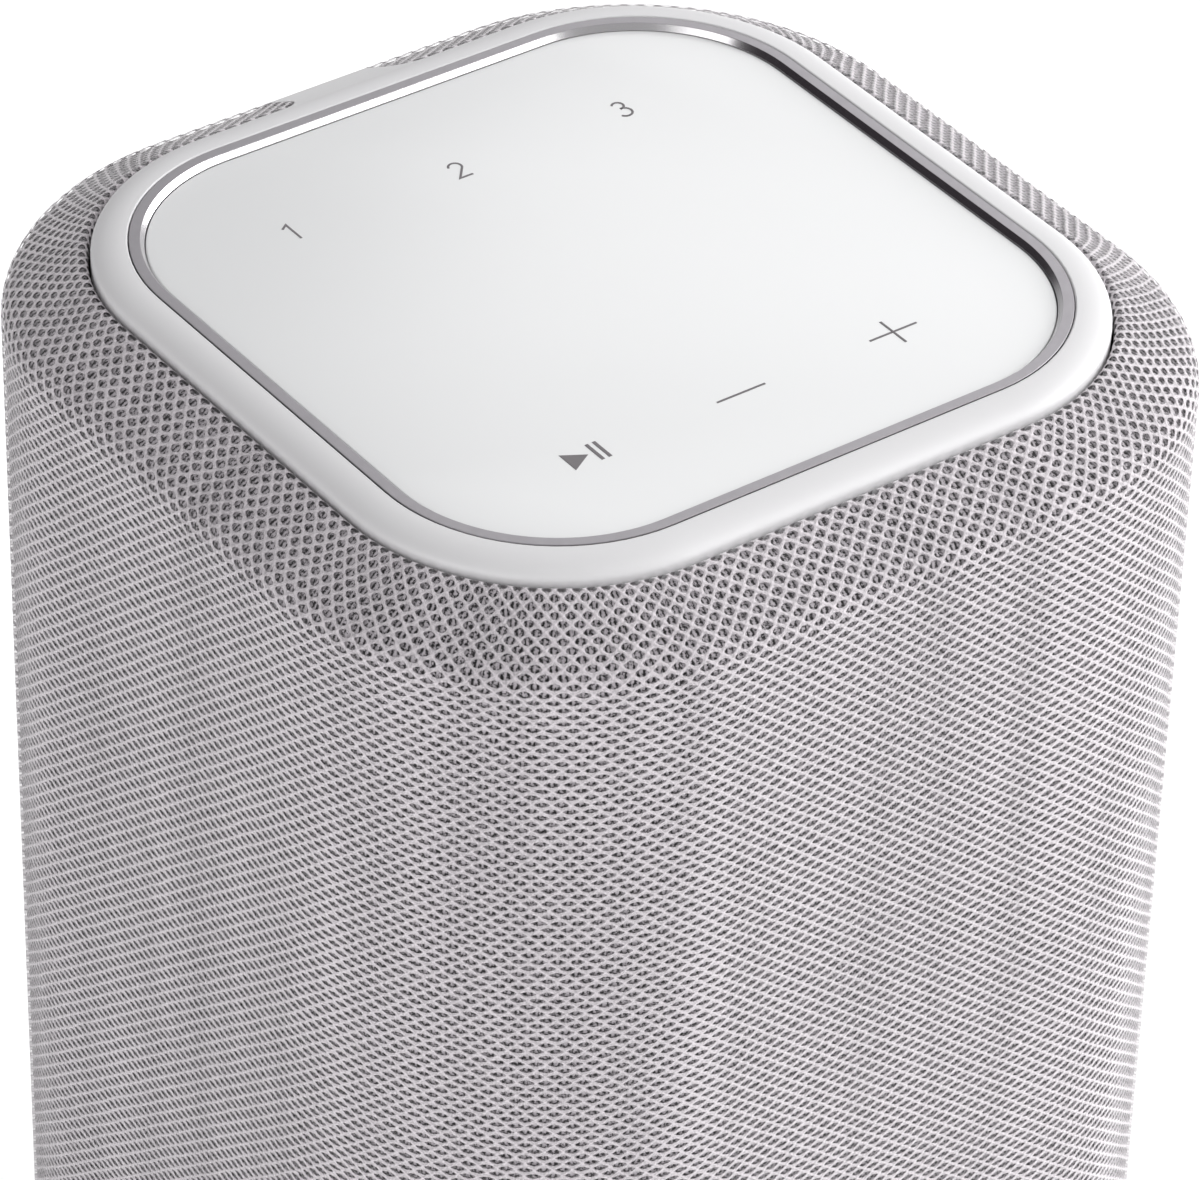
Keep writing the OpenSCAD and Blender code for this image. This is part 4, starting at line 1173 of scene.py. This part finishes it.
@dataclass
class RearPorts:
    """The port panel, its sockets, buttons and light, and the marks beside them."""

    icon: float = 2.7 * MM
    icon_x: float = 10.6 * MM
    line: float = 0.28 * MM
    print_t: float = 0.03 * MM
    jack: Contacts = Contacts("network_contacts", "network_jack", 8, -3.57 * MM, 1.02 * MM,
                              8 * MM, 4 * MM, (0.35 * MM, 7 * MM, 0.3 * MM))
    data: Contacts = Contacts("data_contacts", "data_socket", 4, -3.5 * MM, 2.33 * MM,
                              5 * MM, 0.23 * MM, (1.0 * MM, 6 * MM, 0.1 * MM))

    def build(self) -> None:
        """Makes the rear's pieces."""
        refit("port_panel", PORTS, "port_plate")
        refit("connect_button", KEYS, "connect_key", "connect_button")
        refit("pairing_button", KEYS, "pairing_key", "pairing_button")
        refit("mains_inlet", SOCKET, "inlet_body")
        refit("network_jack", SOCKET, "network_body")
        refit("aux_jack", SOCKET, "aux_body")
        refit("inlet_pins", TINNED, "inlet_contacts")
        refit("data_socket", TINNED, "data_shell")
        refit("status_light_pipe", CLEAR, "status_light")
        self.jack.build()
        self.data.build()
        self.marks()

    def marks(self) -> None:
        """Prints a plain mark beside each socket and button."""
        fine, bold, s = self.line, 2 * self.line, self.icon / 2
        drawn = {
            "network_jack": [(fine, True, [(-1, -1), (-1, 1), (1, 1), (1, -1)]),
                             (fine, False, [(-0.4, -1), (-0.4, 0), (0.4, 0), (0.4, -1)])],
            "data_socket": [(fine, True, [(-1, -0.5), (1, -0.5), (1, 0.5), (-1, 0.5)]),
                            (fine, False, [(-0.6, 0), (0.6, 0)])],
            "aux_jack": [(fine, False, arc((0, -0.1), 0.9, 0, 180)),
                         (bold, False, [(-0.9, -0.1), (-0.9, -1)]),
                         (bold, False, [(0.9, -0.1), (0.9, -1)])],
            "connect_button": [(fine, False, arc((0, -1), r, 30, 150, 8)) for r in (0.7, 1.2, 1.7)],
            "pairing_button": [(fine, True, arc((x, 0), 0.6, 0, 345, 16)) for x in (-0.45, 0.45)],
        }
        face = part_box("port_panel")[1].y - SUNK
        shape = Shape()
        for node, strokes in drawn.items():
            middle = (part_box(node)[0].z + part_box(node)[1].z) / 2
            for width, closed, line in strokes:
                for quad in ribbon([(x * s, y * s) for x, y in line], width, closed):
                    flat = Shape()
                    flat.prism(quad, 0, self.print_t + SUNK)
                    shape.add([(self.icon_x - x, face + z, middle + y) for x, y, z in flat.points],
                              flat.faces)
        settle(shape.made("port_marks", [PRINT], 20))


@dataclass
class Base:
    """The base plate, the foot, the screws and the turns of the stand thread."""

    pitch: float = 1.27 * MM
    crest: float = 0.22 * MM
    crest_at: float = 2.6 * MM

    def build(self) -> None:
        """Makes the underside's pieces."""
        refit("base_plate", BASE, "base_cover")
        refit("base_screws", SCREW, "base_fasteners")
        refit("threaded_insert", BRASS, "stand_insert")
        refit("rubber_foot", RUBBER, "foot_ring")
        low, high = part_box("threaded_insert")
        turns = Repeats("stand_thread", BRASS)
        circle, wire = (
            turns.graph.node("GeometryNodeCurvePrimitiveCircle", {"mode": "RADIUS"},
                             {"Resolution": sides, "Radius": turns.size(name, "Float", radius)})
            for name, sides, radius in (("Bore", 48, self.crest_at), ("Crest", 6, self.crest))
        )
        tube = turns.graph.node("GeometryNodeCurveToMesh", None, {0: circle, 1: wire})
        count = int((high.z - low.z) / self.pitch)
        start = (0, 0, low.z + self.pitch / 2)
        settle(turns.along(tube, count, start, (0, 0, self.pitch)))


class Interior(Enum):
    """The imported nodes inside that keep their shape, by finish."""

    FRAME = (Finish("frame_plastic", tone(24, 24, 25), 0.65, grain=Grain(0.4, 0.02)), ("grille_frame",))
    MOULDINGS = (Finish("dark_plastic", tone(38, 38, 40), 0.55, grain=Grain(0.4, 0.02)),
                 ("top_carrier", "cabinet_shell", "front_baffle", "rear_housing", "tweeter_faceplate"))
    SEALS = (RUBBER, ("panel_gasket", "cabinet_gasket", "woofer_gasket", "woofer_surround"))
    SCREWS = (SCREW, ("baffle_screws", "woofer_screws", "tweeter_screws"))
    PLATES = (Finish("plate_steel", tone(188, 188, 192), 0.30, 1.0,
                     grain=Grain(0.9, 0.004, 0.08, 0.10)),
              ("woofer_top_plate", "woofer_back_plate", "tweeter_top_plate", "tweeter_cup"))
    BASKET = (Finish("basket_steel", tone(30, 30, 31), 0.45, coat=0.2, grain=Grain(0.5, 0.02)),
              ("woofer_basket",))
    MAGNETS = (Finish("ferrite", tone(52, 52, 55), 0.62, grain=Grain(0.7, 0.05, 0.2)),
               ("woofer_magnet", "tweeter_magnet"))
    TERMINALS = (BRASS, ("woofer_terminals",))
    COILS = (Winding("copper_wire", tone(184, 102, 52), 0.22, 0.9),
             ("woofer_voice_coil", "tweeter_coil", "filter_coils"))
    CONES = (Finish("cone_paper", tone(34, 34, 36), 0.72, grain=Grain(0.8, 0.06, 0.15, 0.08)),
             ("woofer_cone", "woofer_dust_cap"))
    DOME = (Weave("dome_silk", tone(60, 60, 64), 0.7, thread=0.3 * MM),
            ("tweeter_dome", "tweeter_surround"))
    SPIDER = (Weave("spider_cloth", tone(192, 152, 76), 0.8, thread=0.5 * MM), ("woofer_spider",))
    STUFFING = (Wool("wool_white", tone(226, 225, 216), 0.9), ("damping_wool",))
    LEADS = (Leads("lead_pvc", tone(150, 26, 24), 0.4), ("speaker_leads",))
    BOARDS = (Board("board_green", tone(14, 74, 42), 0.35),
              ("touch_board", "main_board", "supply_board", "port_board"))
    SHIELD = (TINNED, ("shield_can",))
    CHIPS = (SOCKET, ("amplifier_chips", "button_switches"))
    SINK = (Finish("heat_sink_alloy", tone(48, 48, 51), 0.42, 0.8,
                   grain=Grain(0.12, 0.006, 0.06, 0.06, (1.0, 1.0, 0.08))),
            ("heat_sink",))
    TRANSFORMER = (Finish("transformer_body", tone(196, 166, 52), 0.45,
                          grain=Grain(1.2, 0.02, 0.12, 0.08, (1.0, 1.0, 0.2))),
                   ("transformer",))
    CAPACITORS = (Finish("capacitor_sleeve", tone(30, 40, 92), 0.28, coat=0.3,
                         grain=Grain(1.5, 0.01, 0.08)),
                  ("supply_capacitors",))
    ANTENNAS = (Finish("antenna_copper", tone(190, 132, 78), 0.3, 0.9, grain=Grain(0.4, 0.004, 0.08)),
                ("antenna_left", "antenna_right"))

    def dress(self, nodes: dict[str, Piece]) -> None:
        """Gives the group's nodes its finish."""
        finish, names = self.value
        for name in names:
            mesh = nodes[name].data
            mesh.materials.clear()
            mesh.materials.append(finish.material())
        LOG.info("%s: %s", finish.name, ", ".join(names))


@dataclass
class Studio:
    """The camera, the lights and the floor."""

    azimuth: float = radians(-36.788)
    height: float = radians(36.685)
    roll: float = radians(1.538)
    place: tuple[float, float, float] = (-0.37681, -0.50568, 0.61055)
    lens: float = 198.94
    sensor: float = 36.0
    floor_half: float = 3.0
    even: Colour = (0.45, 0.45, 0.455)
    dark: Colour = (0.035, 0.03, 0.035)
    dark_way: Size3 = (-0.73, 0.64, 0.23)
    aim: Size3 = (0, 0, 0.12)

    def build(self) -> None:
        """Makes everything that isn't the object."""
        self.camera()
        self.floor()
        self.world()
        self.softbox("key", (1.22, -0.50, 0.78), (1.1, 1.1), 18.0)
        self.softbox("fill", (-1.25, -0.35, 0.60), (1.0, 0.9), 6.6)
        self.softbox("sheen", (0.90, 0.62, 0.97), (1.00, 0.65), 2.5)
        self.softbox("strip", (0.72, -1.20, 0.76), (0.45, 0.32), 1.7)
        self.softbox("side", (1.35, -0.10, 0.34), (0.7, 0.5), 5.0)
        view = bpy.context.scene.view_settings
        view.view_transform = "Standard"
        view.look = "None"

    def camera(self) -> None:
        """A long lens from the front left, above."""
        data = bpy.data.cameras.new("camera")
        data.sensor_fit = "HORIZONTAL"
        data.sensor_width = self.sensor
        data.lens = self.lens
        data.clip_start = 0.01
        made = linked("camera", data)
        made.matrix_world = (
            Matrix.Translation(self.place) @ Matrix.Rotation(self.azimuth, 4, "Z")
            @ Matrix.Rotation(pi / 2 - self.height, 4, "X") @ Matrix.Rotation(self.roll, 4, "Z")
        )
        bpy.context.scene.camera = made

    def floor(self) -> None:
        """A plain pale floor."""
        half = self.floor_half
        shape = Shape()
        shape.add([(-half, -half, 0), (half, -half, 0), (half, half, 0), (-half, half, 0)], [(0, 1, 2, 3)])
        paper = Finish("floor_paper", tone(250, 250, 250), 0.9, glow=0.42, grain=Grain(1.5, 0.01, 0.004))
        shape.made("floor", [paper])

    def world(self) -> None:
        """Even light, with a dark patch low at the back left."""
        world = bpy.data.worlds.new("studio")
        world.use_nodes = True
        world.node_tree.nodes.clear()
        graph = Graph(world.node_tree)
        way = graph.node("ShaderNodeTexCoord", output="Generated")
        dot = graph.node("ShaderNodeVectorMath", {"operation": "DOT_PRODUCT"},
                         {0: way, 1: self.dark_way}, "Value")
        light = graph.node("ShaderNodeBackground", None,
                           {"Color": graph.mix(dot.step(0.45, 0.92), self.even, self.dark)})
        graph.sink("ShaderNodeOutputWorld", light, "Surface")
        bpy.context.scene.world = world

    def softbox(self, name: str, place: Sequence[float], size: Point2, power: float) -> None:
        """A rectangular area light that faces the object.

        Args:
            name: the light's name.
            place: where it stands.
            size: its width and height.
            power: its power, in watts.
        """
        data = bpy.data.lights.new(name, "AREA")
        data.shape = "RECTANGLE"
        data.size, data.size_y = size
        data.energy = power
        way = Vector(self.aim) - Vector(place)
        aimed = way.to_track_quat("-Z", "Y").to_matrix().to_4x4()
        linked(name, data).matrix_world = Matrix.Translation(place) @ aimed


def main() -> None:
    """Builds the looks in order."""
    logging.basicConfig(level=logging.INFO, format="%(name)s: %(message)s")
    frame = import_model()
    Studio().build()
    body = Body.read()
    for group in Interior:
        group.dress(frame["nodes"])
    Sleeve(body).build()
    TopDeck(body).build()
    RearPorts().build()
    Base().build()


if __name__ == "__main__":
    main()
